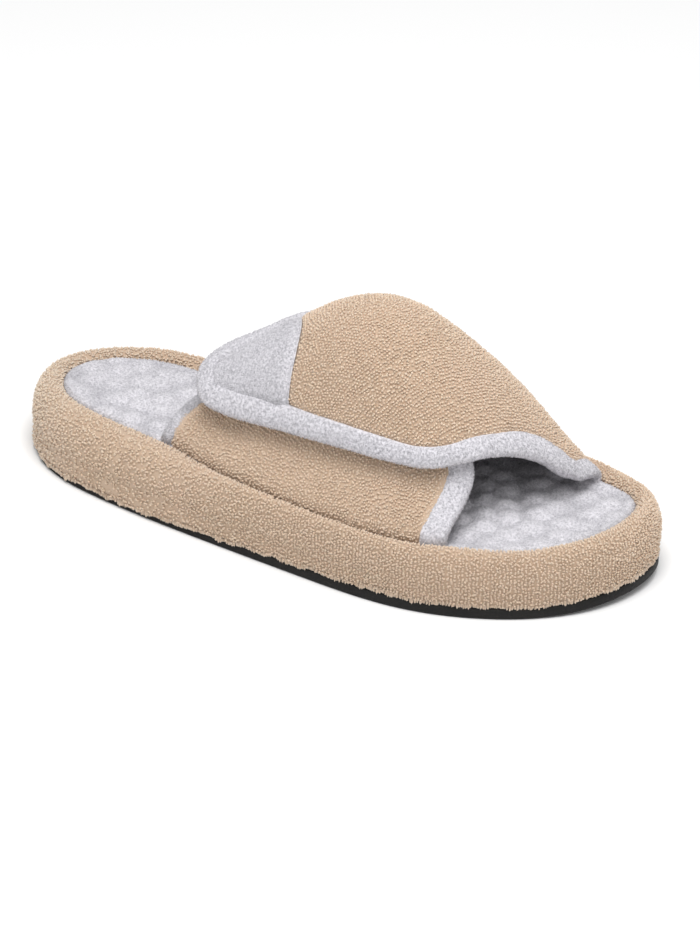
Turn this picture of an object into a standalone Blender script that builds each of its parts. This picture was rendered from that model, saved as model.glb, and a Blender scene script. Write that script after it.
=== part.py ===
"""A right-foot slide slipper with an open toe and an open back.

A terry-covered foam midsole stands on a thin black outsole. A quilted insole lies in the midsole's
rolled rim. The upper is two flaps: the top flap rises from the medial side, wraps over the instep and
fastens on the under flap, which rises from the lateral side. Folded bindings cover the flaps' edges.

Sizes are in millimetres and new_object() turns them into metres. +X points to the toe, +Y to the
medial side and +Z up. The origin is on the floor, under the middle of the outline.
"""

import bpy
import math
import numpy as np

METRES_PER_MM = 0.001

# Overall sizes
LENGTH = 262.0
BALL_WIDTH = 104.0
TOE_SPRING = 3.2
TOE_SPRING_START = 98.0
GAP = 0.3

# Outsole
OUTSOLE_THICKNESS = 4.4
OUTSOLE_IN = 0.4
OUTSOLE_EDGE_ROUND = 0.6

# Midsole and its rolled rim
BULGE_HEIGHT = 14.5
BULGE_LOWER_IN = 1.0
RIM_CREST_SHARE = 0.6
RIM_INNER_DROP = 4.0
WELL_FLOOR = 17.0

# Insole
INSOLE_BELOW_RIM = 1.0
INSOLE_EDGE_ROUND = 3.5
QUILT_PITCH = 15.0
QUILT_RELIEF = 1.6
FLAP_ROOM_MARGIN = 6.0
FLAP_ROOM_BLEND = 6.0
FLAP_ROOM_SPARE = 0.5

# Upper
WALL = 3.0
TAPE = 1.0
TAPE_GAP = 0.5
FLAP_SPRING_HEIGHT = 27.0
ARCH_IN = 12.5
FLARE_END = 40.0
FLAP_FOOT_HEIGHT = WELL_FLOOR + GAP
FLAP_FOOT_IN = 0.35
FOOT_DROP_PER_DEGREE = 0.8
FOOT_ANGLE = (FLAP_FOOT_HEIGHT - FLAP_SPRING_HEIGHT) / FOOT_DROP_PER_DEGREE
BINDING_FOOT_ANGLE = 2.0
UNDER_FLAP_RISE = 30.0
UNDER_DEPTH_MIDDLE = WALL + TAPE + TAPE_GAP + 2 * GAP
UNDER_DEPTH_AT_BINDING = WALL + 2 * (TAPE + TAPE_GAP) + 2 * GAP
FACING = 0.9
BINDING_WIDTH = 6.0
UNDER_REAR_BINDING_WIDTH = 4.0
UNDER_FRONT_BINDING_WIDTH = 11.5

# Counts of points along and around the forms
AROUND = 84
AROUND_INSOLE = 120
INSOLE_COLUMNS = 15
TOP_FLAP_SECTIONS = 30
TOP_FLAP_COLUMNS = 18
TOP_FLAP_CROWDING = 1.35
UNDER_FLAP_SECTIONS = 12
UNDER_FLAP_COLUMNS = 18
FACING_SECTIONS = 12
FACING_COLUMNS = 7
FOLD_ANGLES = (35.0, 65.0, 90.0, 115.0, 145.0)

# The widest outline from above, lateral side first. Columns: along / LENGTH, across / BALL_WIDTH.
OUTLINE = (
    (-0.500, 0.026),
    (-0.438, -0.270),
    (-0.289, -0.406),
    (-0.115, -0.457),
    (0.079, -0.496),
    (0.236, -0.493),
    (0.384, -0.345),
    (0.484, -0.066),
    (0.491, 0.225),
    (0.400, 0.425),
    (0.215, 0.491),
    (0.022, 0.411),
    (-0.159, 0.360),
    (-0.334, 0.368),
    (-0.448, 0.253),
)

# The top of the rim before the toe spring. Columns: x, height.
RIM_HEIGHTS = ((-131.0, 27.6), (-60.0, 27.9), (0.0, 27.3), (50.0, 26.4), (100.0, 26.5), (131.0, 27.4))

# The rim's width. Columns: share of the way round from the heel by the lateral side, width.
RIM_WIDTHS = (
    (0.000, 11.5),
    (0.040, 12.5),
    (0.085, 15.5),
    (0.150, 15.0),
    (0.193, 10.5),
    (0.218, 8.0),
    (0.251, 6.2),
    (0.299, 5.2),
    (0.348, 5.8),
    (0.383, 7.6),
    (0.419, 7.2),
    (0.446, 8.0),
    (0.479, 9.6),
    (0.519, 10.2),
    (0.560, 9.6),
    (0.594, 12.0),
    (0.630, 12.5),
    (0.870, 12.5),
    (0.920, 11.0),
    (1.000, 11.5),
)

# The top flap's ridge over the foot. Columns: x, height.
CROWN = (
    (-60.0, 52.0),
    (-45.0, 60.3),
    (-27.0, 69.6),
    (-14.0, 78.0),
    (2.0, 89.0),
    (13.0, 94.0),
    (24.0, 96.0),
    (34.0, 94.0),
    (45.0, 88.0),
    (61.0, 77.0),
    (75.0, 64.0),
    (88.0, 47.3),
    (100.0, 31.5),
    (110.0, 29.0),
)

# How far the arch's shoulders are drawn in from an ellipse. Columns: x, lateral share, medial share.
SHOULDER_PINCH = (
    (-60.0, 0.010, 0.000),
    (0.0, 0.020, 0.000),
    (60.0, 0.010, 0.010),
    (95.0, 0.000, 0.080),
)

# The top flap's edge, from the rear medial foot round the tab to the front medial foot.
# Columns: x, angle round the arch from the lateral foot, in degrees.
TOP_FLAP_EDGE = (
    (-44.5, 178.0),
    (-33.0, 158.0),
    (-20.0, 138.0),
    (-13.0, 119.0),
    (-15.0, 104.0),
    (-23.0, 94.0),
    (-33.0, 87.0),
    (-40.5, 79.5),
    (-44.2, 67.0),
    (-43.2, 56.0),
    (-38.6, 44.5),
    (-30.4, 41.0),
    (-20.8, 39.6),
    (-1.9, 39.0),
    (16.5, 37.8),
    (34.2, 37.0),
    (50.4, 36.7),
    (57.6, 37.6),
    (64.1, 40.1),
    (69.9, 44.8),
    (75.2, 51.8),
    (80.1, 60.6),
    (84.3, 73.3),
    (87.7, 87.1),
    (91.4, 104.5),
    (94.3, 123.3),
    (95.3, 143.0),
    (93.5, 160.0),
    (91.0, 178.0),
)
TAB_TIP_ROW = 8

# The under flap's edges, from the lateral foot to the hidden end. Columns: angle, rear x, front x.
UNDER_FLAP_EDGES = (
    (2.0, -56.3, 75.0),
    (12.0, -54.8, 76.5),
    (24.0, -54.2, 78.0),
    (36.0, -51.5, 78.2),
    (48.0, -47.0, 75.5),
    (64.0, -40.0, 68.5),
    (82.0, -34.0, 58.0),
)
UNDER_FLAP_END = 80.0

# The seam where the grey tab facing meets the panel. Columns: angle, x.
TAB_SEAM = ((40.0, 1.5), (50.0, -0.2), (60.0, -1.4), (70.0, -2.4), (80.0, -5.3), (95.0, -14.0))

# The hook-and-loop fastening between the flaps. Columns: x range, angle range.
FASTENING = ((-20.0, 0.0), (57.0, 74.0))

MATERIALS = {
    "terry": ((0.63, 0.46, 0.32, 1.0), 0.95),
    "velour": ((0.66, 0.65, 0.69, 1.0), 0.9),
    "rubber": ((0.018, 0.016, 0.016, 1.0), 0.6),
}


def clear_scene():
    for item in list(bpy.data.objects):
        bpy.data.objects.remove(item)


def material(name):
    if name in bpy.data.materials:
        return bpy.data.materials[name]
    colour, roughness = MATERIALS[name]
    made = bpy.data.materials.new(name)
    made.use_nodes = True
    shader = made.node_tree.nodes["Principled BSDF"]
    shader.inputs["Base Color"].default_value = colour
    shader.inputs["Roughness"].default_value = roughness
    shader.inputs["Metallic"].default_value = 0.0
    made.diffuse_color = colour
    return made


def new_object(name, points, faces, finish):
    """A mesh object from millimetre points and faces that point out."""
    mesh = bpy.data.meshes.new(name)
    mesh.from_pydata([tuple(float(c) * METRES_PER_MM for c in p) for p in points], [], faces)
    mesh.validate()
    mesh.shade_smooth()
    mesh.set_sharp_from_angle(angle=math.radians(50.0))
    made = bpy.data.objects.new(name, mesh)
    bpy.context.scene.collection.objects.link(made)
    made.data.materials.append(material(finish))
    return made


def smooth_step(value):
    t = min(max(value, 0.0), 1.0)
    return t * t * (3.0 - 2.0 * t)


def smooth_table(rows, at, column=1):
    """The table's column at a place in its first column, on a smooth curve through the rows."""
    xs = [row[0] for row in rows]
    ys = [row[column] for row in rows]
    if at <= xs[0]:
        return ys[0]
    if at >= xs[-1]:
        return ys[-1]
    slopes = []
    for i in range(len(xs)):
        low, high = max(i - 1, 0), min(i + 1, len(xs) - 1)
        slopes.append((ys[high] - ys[low]) / (xs[high] - xs[low]))
    i = max(k for k in range(len(xs) - 1) if xs[k] <= at)
    step = xs[i + 1] - xs[i]
    t = (at - xs[i]) / step
    return (
        (2 * t**3 - 3 * t**2 + 1) * ys[i]
        + (t**3 - 2 * t**2 + t) * step * slopes[i]
        + (3 * t**2 - 2 * t**3) * ys[i + 1]
        + (t**3 - t**2) * step * slopes[i + 1]
    )


def closed_spline(points, count):
    """Evenly spaced points on the periodic cubic through the given points, and their outward normals."""
    points = np.array(points, float)
    n = len(points)
    steps = np.linalg.norm(np.roll(points, -1, axis=0) - points, axis=1)
    matrix, right = np.zeros((n, n)), np.zeros((n, 2))
    for i in range(n):
        before, after = steps[i - 1], steps[i]
        matrix[i, i - 1] = before
        matrix[i, i] = 2.0 * (before + after)
        matrix[i, (i + 1) % n] = after
        right[i] = 6.0 * (
            (points[(i + 1) % n] - points[i]) / after - (points[i] - points[i - 1]) / before
        )
    bends = np.linalg.solve(matrix, right)
    dense = []
    for i in range(n):
        a, b, h = points[i], points[(i + 1) % n], steps[i]
        bend_a, bend_b = bends[i], bends[(i + 1) % n]
        for t in np.linspace(0.0, h, 60, endpoint=False):
            u = h - t
            dense.append(
                bend_a * u**3 / (6 * h)
                + bend_b * t**3 / (6 * h)
                + (a / h - bend_a * h / 6) * u
                + (b / h - bend_b * h / 6) * t
            )
    dense = np.array(dense)
    lengths = np.linalg.norm(np.roll(dense, -1, axis=0) - dense, axis=1)
    along = np.concatenate([[0.0], np.cumsum(lengths)])
    ring = np.vstack([dense, dense[:1]])
    at = np.linspace(0.0, along[-1], count, endpoint=False)
    even = np.stack([np.interp(at, along, ring[:, k]) for k in range(2)], axis=1)
    tangent = np.roll(even, -1, axis=0) - np.roll(even, 1, axis=0)
    normal = np.stack([tangent[:, 1], -tangent[:, 0]], axis=1)
    return even, normal / np.linalg.norm(normal, axis=1)[:, None]


def rim_widths(count):
    """The rim's width at each of the evenly spaced points of the outline."""
    return np.array([smooth_table(RIM_WIDTHS, k / count) for k in range(count)])


EDGE_POINTS = [(LENGTH * along, BALL_WIDTH * across) for along, across in OUTLINE]
OUTLINE_RING, OUTLINE_NORMALS = closed_spline(EDGE_POINTS, AROUND)
INSOLE_RING, INSOLE_NORMALS = closed_spline(EDGE_POINTS, AROUND_INSOLE)
FINE_RING, FINE_NORMALS = closed_spline(EDGE_POINTS, 720)


def toe_lift(x):
    """How far the toe spring raises what stands at x."""
    toe = LENGTH / 2
    return TOE_SPRING * max(0.0, (x - TOE_SPRING_START) / (toe - TOE_SPRING_START)) ** 2


def ring_at(inset, height):
    """The outline moved in by inset, at a height above the floor, with the toe spring added."""
    flat = OUTLINE_RING - OUTLINE_NORMALS * inset
    return [(x, y, height + toe_lift(x)) for x, y in flat]


def rungs(count):
    """Faces across a ring of evenly spaced points, each between one pair of rungs."""
    faces = [(0, 1, count - 1)]
    faces += [(k, k + 1, count - k - 1, count - k) for k in range(1, count // 2 - 1)]
    faces.append((count // 2 - 1, count // 2, count // 2 + 1))
    return faces


def side_faces(levels, count):
    """Faces between rings of equal count, one above the other."""
    faces = []
    for k in range(levels - 1):
        for i in range(count):
            j = (i + 1) % count
            faces.append((k * count + i, k * count + j, (k + 1) * count + j, (k + 1) * count + i))
    return faces


def loft(rings):
    """Points and faces of the closed form through rings of equal count, the first at the bottom."""
    count = len(rings[0])
    points = [p for ring in rings for p in ring]
    last = (len(rings) - 1) * count
    faces = [tuple(reversed(face)) for face in rungs(count)]
    faces += side_faces(len(rings), count)
    faces += [tuple(last + i for i in face) for face in rungs(count)]
    return points, faces


def outsole():
    rings = [
        ring_at(OUTSOLE_IN + OUTSOLE_EDGE_ROUND, 0.0),
        ring_at(OUTSOLE_IN, OUTSOLE_EDGE_ROUND),
        ring_at(OUTSOLE_IN, OUTSOLE_THICKNESS),
    ]
    return new_object("outsole", *loft(rings), "rubber")


def midsole_profile(width, top):
    """Inset and height down the midsole's section, for the rim's width and its height above the floor."""
    bottom = OUTSOLE_THICKNESS + GAP
    crest = width * RIM_CREST_SHARE
    rows = [(BULGE_LOWER_IN + 3.0, bottom)]
    for angle in (0.0, 30.0, 60.0):
        turn = math.radians(angle)
        rise = (BULGE_HEIGHT - bottom) * math.sin(turn)
        rows.append((BULGE_LOWER_IN * (1 - math.sin(turn)) ** 1.5, bottom + rise))
    for angle in (0.0, 25.0, 45.0, 62.0, 77.0, 90.0):
        turn = math.radians(angle)
        rows.append((crest * (1 - math.cos(turn)), BULGE_HEIGHT + (top - BULGE_HEIGHT) * math.sin(turn)))
    for angle in (35.0, 65.0, 90.0):
        turn = math.radians(angle)
        inset = crest + (width - crest) * math.sin(turn)
        rows.append((inset, top - RIM_INNER_DROP * (1 - math.cos(turn))))
    rows.append((width, WELL_FLOOR))
    return rows


def midsole():
    sections = []
    for (x, y), normal, width in zip(OUTLINE_RING, OUTLINE_NORMALS, rim_widths(AROUND)):
        rows = midsole_profile(width, smooth_table(RIM_HEIGHTS, x))
        flat = [np.array([x, y]) - normal * inset for inset, _ in rows]
        sections.append([(*p, height + toe_lift(p[0])) for p, (_, height) in zip(flat, rows)])
    return new_object("midsole", *loft(list(zip(*sections))), "terry")


def rim_side(x, side, insets):
    """Where the outline, moved in by the insets, lies at x: on the lateral side (-1) or the medial (+1)."""
    ring = FINE_RING - FINE_NORMALS * np.reshape(insets, (-1, 1))
    ring = np.roll(ring, -int(np.argmin(ring[:, 0])), axis=0)
    toe = int(np.argmax(ring[:, 0]))
    chain = ring[: toe + 1] if side < 0 else ring[toe:]
    order = np.argsort(chain[:, 0])
    return float(np.interp(x, chain[order, 0], chain[order, 1]))


SIDE_STATIONS = np.arange(-115.0, 116.0, 1.0)
ARCH_SIDES = {side: [rim_side(x, side, ARCH_IN) for x in SIDE_STATIONS] for side in (-1, 1)}
WELL_SIDE = [rim_side(x, -1, rim_widths(720)) for x in SIDE_STATIONS]


def arch_size(x):
    """Centre, half width and rise of the upper's arch at x."""
    lateral, medial = (float(np.interp(x, SIDE_STATIONS, ARCH_SIDES[side])) for side in (-1, 1))
    rise = smooth_table(CROWN, x) - FLAP_SPRING_HEIGHT
    return (lateral + medial) / 2, (medial - lateral) / 2 - FLAP_FOOT_IN, rise


def flare(x, angle):
    """How far the arch's lateral foot is moved across, to stand at the well's wall."""
    step = np.interp(x, SIDE_STATIONS, WELL_SIDE) - np.interp(x, SIDE_STATIONS, ARCH_SIDES[-1])
    return float(step) * (1.0 - smooth_step(angle / FLARE_END))


def arch_point(x, angle):
    """A point of the top flap's outer surface. The angle runs from 0 at the lateral foot to 180."""
    centre, half, rise = arch_size(x)
    if angle <= 0.0:
        rise = angle * FOOT_DROP_PER_DEGREE
        return np.array([x, centre - half + flare(x, 0.0), FLAP_SPRING_HEIGHT + rise])
    if angle >= 180.0:
        drop = (angle - 180.0) * FOOT_DROP_PER_DEGREE
        return np.array([x, centre + half, FLAP_SPRING_HEIGHT - drop])
    turn = math.radians(angle)
    lateral = smooth_table(SHOULDER_PINCH, x, 1)
    medial = smooth_table(SHOULDER_PINCH, x, 2)
    share = smooth_step((angle - 60.0) / 60.0)
    pinch = lateral + (medial - lateral) * share
    reach = 1.0 / math.hypot(math.cos(turn) / half, math.sin(turn) / rise)
    reach *= 1.0 - pinch * math.sin(2.0 * turn) ** 2
    across = centre - reach * math.cos(turn) + flare(x, angle)
    return np.array([x, across, FLAP_SPRING_HEIGHT + reach * math.sin(turn)])


def arch_slopes(x, angle):
    """How the surface point moves per millimetre of x and per degree."""
    along = (arch_point(x + 0.5, angle) - arch_point(x - 0.5, angle)) / 1.0
    across = (arch_point(x, angle + 0.5) - arch_point(x, angle - 0.5)) / 1.0
    return along, across


def flap_point(x, angle, depth):
    """A point at a depth under the top flap's outer surface."""
    along, across = arch_slopes(x, angle)
    out = np.cross(along, across)
    return arch_point(x, angle) - out / np.linalg.norm(out) * depth


def under_depth(x, angle):
    """How deep the under flap's outer surface lies under the top flap's."""
    front = smooth_step((x - 42.0) / 14.0)
    rear = smooth_step((-16.0 - x) / 12.0)
    full = UNDER_DEPTH_MIDDLE + (UNDER_DEPTH_AT_BINDING - UNDER_DEPTH_MIDDLE) * max(front, rear)
    return full * smooth_step(angle / UNDER_FLAP_RISE)


def top_depth(x, angle):
    return 0.0


def sheet(outer, inner):
    """Points and faces of a closed wall between two grids of equal size."""
    rows, columns = len(outer), len(outer[0])
    points = [p for row in outer for p in row] + [p for row in inner for p in row]
    back = rows * columns
    faces = []
    for i in range(rows - 1):
        for j in range(columns - 1):
            a, b = i * columns + j, i * columns + j + 1
            c, d = (i + 1) * columns + j + 1, (i + 1) * columns + j
            faces.append((d, c, b, a))
            faces.append((back + a, back + b, back + c, back + d))
    rim = [j for j in range(columns)]
    rim += [i * columns + columns - 1 for i in range(1, rows)]
    rim += [(rows - 1) * columns + j for j in range(columns - 2, -1, -1)]
    rim += [i * columns for i in range(rows - 2, 0, -1)]
    for k in range(len(rim)):
        a, b = rim[k], rim[(k + 1) % len(rim)]
        faces.append((a, b, back + b, back + a))
    return points, faces


def open_spline(rows, count, crowding=1.0):
    """Points on a smooth curve through (x, angle) rows. They crowd towards its end."""
    order = [(float(i),) + tuple(row) for i, row in enumerate(rows)]
    fine = np.linspace(0.0, len(rows) - 1.0, 12 * len(rows))
    flat = [(smooth_table(order, t, 1), smooth_table(order, t, 2)) for t in fine]
    solid = np.array([arch_point(x, angle) for x, angle in flat])
    along = np.concatenate([[0.0], np.cumsum(np.linalg.norm(np.diff(solid, axis=0), axis=1))])
    at = along[-1] * (1.0 - np.linspace(1.0, 0.0, count) ** crowding)
    return [
        (
            float(np.interp(a, along, [f[0] for f in flat])),
            float(np.interp(a, along, [f[1] for f in flat])),
        )
        for a in at
    ]


def moved_in(edge, widths):
    """The edge's (x, angle) places moved over the surface to its left by each width."""
    moved = []
    for i, (x, angle) in enumerate(edge):
        low, high = edge[max(i - 1, 0)], edge[min(i + 1, len(edge) - 1)]
        along, across = arch_slopes(x, angle)
        run = along * (high[0] - low[0]) + across * (high[1] - low[1])
        inward = np.cross(np.cross(along, across), run)
        inward *= widths[i] / np.linalg.norm(inward)
        step = np.linalg.lstsq(np.stack([along, across], axis=1), inward, rcond=None)[0]
        moved.append((x + float(step[0]), angle + float(step[1])))
    return moved


def above_the_rim(places):
    """The places with their angles held clear of the rim on both sides."""
    low, high = BINDING_FOOT_ANGLE, 180.0 - BINDING_FOOT_ANGLE
    return [(x, min(max(angle, low), high)) for x, angle in places]


def edge_lines(edge, widths):
    """The edge, the middle of its binding and the binding's inner border, as lines of places."""
    return [edge] + [above_the_rim(moved_in(edge, [w * s for w in widths])) for s in (0.5, 1.0)]


def between(first, last, share):
    return tuple(a + (b - a) * share for a, b in zip(first, last))


def flap_row(rear, front, widths, columns):
    """A row of places across a flap, with the borders of the two bindings among them."""
    length = np.linalg.norm(arch_point(*rear[0]) - arch_point(*front[0]))
    trust = smooth_step((length / widths[0] - 2.5) / 1.5)
    row = []
    for side, other, width in ((rear, front, widths[0]), (front, rear, widths[1])):
        reach = min(width / length, 0.4)
        ends = [side[0]]
        for place, share in ((side[1], 0.5), (side[2], 1.0)):
            ends.append(between(between(side[0], other[0], reach * share), place, trust))
        row.append(ends)
    (start, stop), inside = (row[0][-1], row[1][-1]), columns - 4
    middle = [between(start, stop, k / (inside - 1.0)) for k in range(1, inside - 1)]
    return row[0] + middle + row[1][::-1]


def with_foot(rows, angle):
    """The rows with one more before them: the first, moved down to the floor of the well."""
    return [[(x, angle) for x, _ in rows[0]]] + rows


def top_flap_edge():
    """The top flap's whole edge, from the rear medial foot to the front one, and its widths."""
    rear = open_spline(TOP_FLAP_EDGE[: TAB_TIP_ROW + 1], TOP_FLAP_SECTIONS, TOP_FLAP_CROWDING)
    front = open_spline(TOP_FLAP_EDGE[: TAB_TIP_ROW - 1 : -1], TOP_FLAP_SECTIONS, TOP_FLAP_CROWDING)
    edge = rear + front[-2::-1]
    return edge, [BINDING_WIDTH for _ in edge]


def top_flap_places():
    """The top flap's grid of places, from the medial foot to the end of the tab."""
    edge, widths = top_flap_edge()
    lines = edge_lines(edge, widths)
    rows = []
    for k in range(TOP_FLAP_SECTIONS - 1):
        rear, front = [line[k] for line in lines], [line[-1 - k] for line in lines]
        rows.append(flap_row(rear, front, (widths[k], widths[-1 - k]), TOP_FLAP_COLUMNS))
    return with_foot(rows, 180.0 - FOOT_ANGLE)


def under_flap_edge(column):
    """The under flap's rear (1) or front (2) edge, from the foot up to the hidden end."""
    angles = np.linspace(BINDING_FOOT_ANGLE, UNDER_FLAP_END, 10)
    rows = [(smooth_table(UNDER_FLAP_EDGES, angle, column), angle) for angle in angles]
    return open_spline(rows, UNDER_FLAP_SECTIONS)


def under_flap_places():
    """The under flap's grid of places, from its hidden end to the lateral foot."""
    widths = UNDER_REAR_BINDING_WIDTH, UNDER_FRONT_BINDING_WIDTH
    rear = edge_lines(under_flap_edge(1)[::-1], [widths[0]] * UNDER_FLAP_SECTIONS)
    rear = [line[::-1] for line in rear]
    front = edge_lines(under_flap_edge(2), [widths[1]] * UNDER_FLAP_SECTIONS)
    rows = []
    for k in range(UNDER_FLAP_SECTIONS):
        ends = [line[k] for line in rear], [line[k] for line in front]
        rows.append(flap_row(*ends, widths, UNDER_FLAP_COLUMNS))
    return with_foot(rows, FOOT_ANGLE)[::-1]


def wall_between(places, outer_depth, thickness, name, finish):
    """A wall of the given thickness over a grid of (x, angle) places."""
    outer = [[flap_point(x, a, outer_depth(x, a)) for x, a in row] for row in places]
    inner = [[flap_point(x, a, outer_depth(x, a) + thickness) for x, a in row] for row in places]
    return new_object(name, *sheet(outer, inner), finish)


def folded_tape(edge, widths, depth, name):
    """A binding folded round a flap's edge: outer leaf, rounded fold and inner leaf."""
    half = WALL / 2
    near, far = half + TAPE_GAP, half + TAPE_GAP + TAPE
    lines = edge_lines(edge, widths)[::-1]
    beyond = moved_in(edge, [-0.5 for _ in edge])
    rings = []
    for i in range(len(edge)):
        leaf = [(line[i], depth(*line[i]) + half) for line in lines]
        place, middle = leaf[-1]
        centre = flap_point(*place, middle)
        out = flap_point(*place, middle - 1.0) - centre
        out /= np.linalg.norm(out)
        away = flap_point(*beyond[i], middle) - centre
        away -= out * float(np.dot(away, out))
        away /= np.linalg.norm(away)
        ring = [flap_point(*at, deep - far) for at, deep in leaf]
        for degrees in FOLD_ANGLES:
            turn = math.radians(degrees)
            ring.append(centre + (out * math.cos(turn) + away * math.sin(turn)) * far)
        ring += [flap_point(*at, deep + far) for at, deep in reversed(leaf)]
        ring += [flap_point(*at, deep + near) for at, deep in leaf[:-1]]
        ring += [centre + away * TAPE_GAP - out * near, centre + away * TAPE_GAP + out * near]
        ring += [flap_point(*at, deep - near) for at, deep in reversed(leaf[:-1])]
        rings.append(ring)
    count = len(rings[0])
    points = [p for ring in rings for p in ring]
    last = (len(rings) - 1) * count
    faces = side_faces(len(rings), count)
    faces.append(tuple(reversed(range(count))))
    faces.append(tuple(range(last, last + count)))
    return new_object(name, points, faces, "velour")


def top_flap_binding():
    return folded_tape(*top_flap_edge(), top_depth, "top_flap_binding")


def under_flap_bindings():
    front, rear = under_flap_edge(2), under_flap_edge(1)[::-1]
    for name, edge, width in (
        ("under_flap_front_binding", front, UNDER_FRONT_BINDING_WIDTH),
        ("under_flap_rear_binding", rear, UNDER_REAR_BINDING_WIDTH),
    ):
        folded_tape(edge, [width for _ in edge], under_depth, name)


def tab_facing():
    """The facing that covers the tab outside, between the binding and the seam with the panel."""
    edge, widths = top_flap_edge()
    line = moved_in(edge, [width + TAPE_GAP for width in widths])
    line = [p for p in line if p[1] < TAB_SEAM[-1][0]]
    inside = [p[1] for p in line if p[0] < smooth_table(TAB_SEAM, p[1])]
    places = []
    for angle in np.linspace(max(inside) - 0.4, min(inside) + 0.4, FACING_SECTIONS):
        crossings = [
            a[0] + (b[0] - a[0]) * (angle - a[1]) / (b[1] - a[1])
            for a, b in zip(line, line[1:])
            if (a[1] - angle) * (b[1] - angle) <= 0.0 and a[1] != b[1]
        ]
        ends = min(crossings) + 2 * GAP, smooth_table(TAB_SEAM, angle)
        places.append([(x, angle) for x in np.linspace(*ends, FACING_COLUMNS)])
    return wall_between(places, lambda x, a: -GAP - FACING, FACING, "tab_facing", "velour")


def fastening():
    """The hook-and-loop fastening: a block that reaches from the middle of one flap into the other."""
    (rear, front), (low, high) = FASTENING
    places = [[(x, a) for x in np.linspace(rear, front, 5)] for a in np.linspace(high, low, 5)]
    return wall_between(places, lambda x, a: WALL / 2, UNDER_DEPTH_MIDDLE, "fastening", "terry")


def upper():
    """Both flaps as one solid, joined by the fastening where they cross."""
    top = wall_between(top_flap_places(), top_depth, WALL, "upper", "terry")
    under = wall_between(under_flap_places(), under_depth, WALL, "under_flap_wall", "terry")
    for piece in (under, fastening()):
        union = top.modifiers.new("join_" + piece.name, "BOOLEAN")
        union.operation = "UNION"
        union.solver = "EXACT"
        union.object = piece
        piece.hide_render = True
        piece.display_type = "WIRE"
    return top


def flap_room(x, side):
    """How much the insole's edge gives way to a flap's foot at x."""
    if side < 0:
        rear, front = UNDER_FLAP_EDGES[0][1:]
    else:
        rear, front = TOP_FLAP_EDGE[0][0], TOP_FLAP_EDGE[-1][0]
    outside = max(rear - x, x - front, 0.0) - FLAP_ROOM_MARGIN
    return (FLAP_FOOT_IN + WALL + FLAP_ROOM_SPARE) * (1.0 - smooth_step(outside / FLAP_ROOM_BLEND))


def insole_ring(inset, height=None, below=0.0):
    """The edge of the well, moved in by inset and by the room for the flaps' feet.

    It lies at the given height, or else as far below the level of the insole's edge.
    """
    ring = []
    widths = rim_widths(AROUND_INSOLE)
    for i, (point, normal) in enumerate(zip(INSOLE_RING, INSOLE_NORMALS)):
        side = -1 if i < AROUND_INSOLE / 2 else 1
        room = widths[i] + GAP + inset + flap_room(point[0], side)
        x, y = point - normal * room
        level = smooth_table(RIM_HEIGHTS, point[0]) - INSOLE_BELOW_RIM - below
        ring.append((x, y, (level if height is None else height) + toe_lift(x)))
    return ring


def quilt(x, y):
    """The height of the insole's puffs at a place, from 0 in the seams to 1."""
    across = abs(math.sin(math.pi * x / QUILT_PITCH))
    along = abs(math.sin(math.pi * y / QUILT_PITCH))
    return math.sqrt(across * along)


def insole():
    rings = [insole_ring(0.0, height=WELL_FLOOR + GAP)]
    for degrees in (0.0, 35.0, 65.0, 90.0):
        turn = math.radians(degrees)
        inset = INSOLE_EDGE_ROUND * (1.0 - math.cos(turn))
        rings.append(insole_ring(inset, below=INSOLE_EDGE_ROUND * (1.0 - math.sin(turn))))
    edge = rings[-1]
    count = AROUND_INSOLE
    points = [p for ring in rings for p in ring]
    faces = [tuple(reversed(face)) for face in rungs(count)]
    faces += side_faces(len(rings), count)
    base = (len(rings) - 1) * count
    rows = []
    for k in range(1, count // 2):
        left, right = np.array(edge[k]), np.array(edge[count - k])
        row = [base + k]
        for share in np.linspace(0.0, 1.0, INSOLE_COLUMNS + 1)[1:-1]:
            x, y, z = left + (right - left) * share
            lift = QUILT_RELIEF * quilt(x, y) * smooth_step(6.0 * min(share, 1.0 - share))
            row.append(len(points))
            points.append((x, y, z + lift))
        rows.append(row + [base + count - k])
    for low, high in zip(rows, rows[1:]):
        for j in range(INSOLE_COLUMNS):
            faces.append((low[j], high[j], high[j + 1], low[j + 1]))
    faces += [(base, rows[0][j], rows[0][j + 1]) for j in range(INSOLE_COLUMNS)]
    toe = base + count // 2
    faces += [(rows[-1][j], toe, rows[-1][j + 1]) for j in range(INSOLE_COLUMNS)]
    return new_object("insole", points, faces, "velour")


def main():
    clear_scene()
    outsole()
    midsole()
    insole()
    upper()
    top_flap_binding()
    under_flap_bindings()
    tab_facing()


main()
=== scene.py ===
"""The look of the slide slipper: looped terry cloth, quilted insole, folded bindings and a black outsole.

Places on the slipper are worked out in millimetres, as in the solids' own source, and build() turns them
into metres. +X points to the toe, +Y to the medial side and +Z up.
"""

import math

import bpy
import numpy as np
from mathutils import Matrix, Vector


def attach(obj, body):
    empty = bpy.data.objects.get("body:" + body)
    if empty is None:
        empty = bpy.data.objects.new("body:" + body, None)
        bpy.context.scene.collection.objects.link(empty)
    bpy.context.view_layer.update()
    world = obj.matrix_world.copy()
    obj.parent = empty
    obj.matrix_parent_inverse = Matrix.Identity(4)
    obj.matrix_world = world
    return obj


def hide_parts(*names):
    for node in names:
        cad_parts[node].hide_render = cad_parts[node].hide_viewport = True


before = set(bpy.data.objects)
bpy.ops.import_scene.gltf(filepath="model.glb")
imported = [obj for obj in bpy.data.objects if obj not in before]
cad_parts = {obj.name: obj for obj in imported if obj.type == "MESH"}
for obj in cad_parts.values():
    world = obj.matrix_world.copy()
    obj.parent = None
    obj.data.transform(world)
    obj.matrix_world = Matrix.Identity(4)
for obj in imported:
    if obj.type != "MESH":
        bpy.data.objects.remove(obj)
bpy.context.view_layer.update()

METRES_PER_MM = 0.001
BODY = "root"

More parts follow.
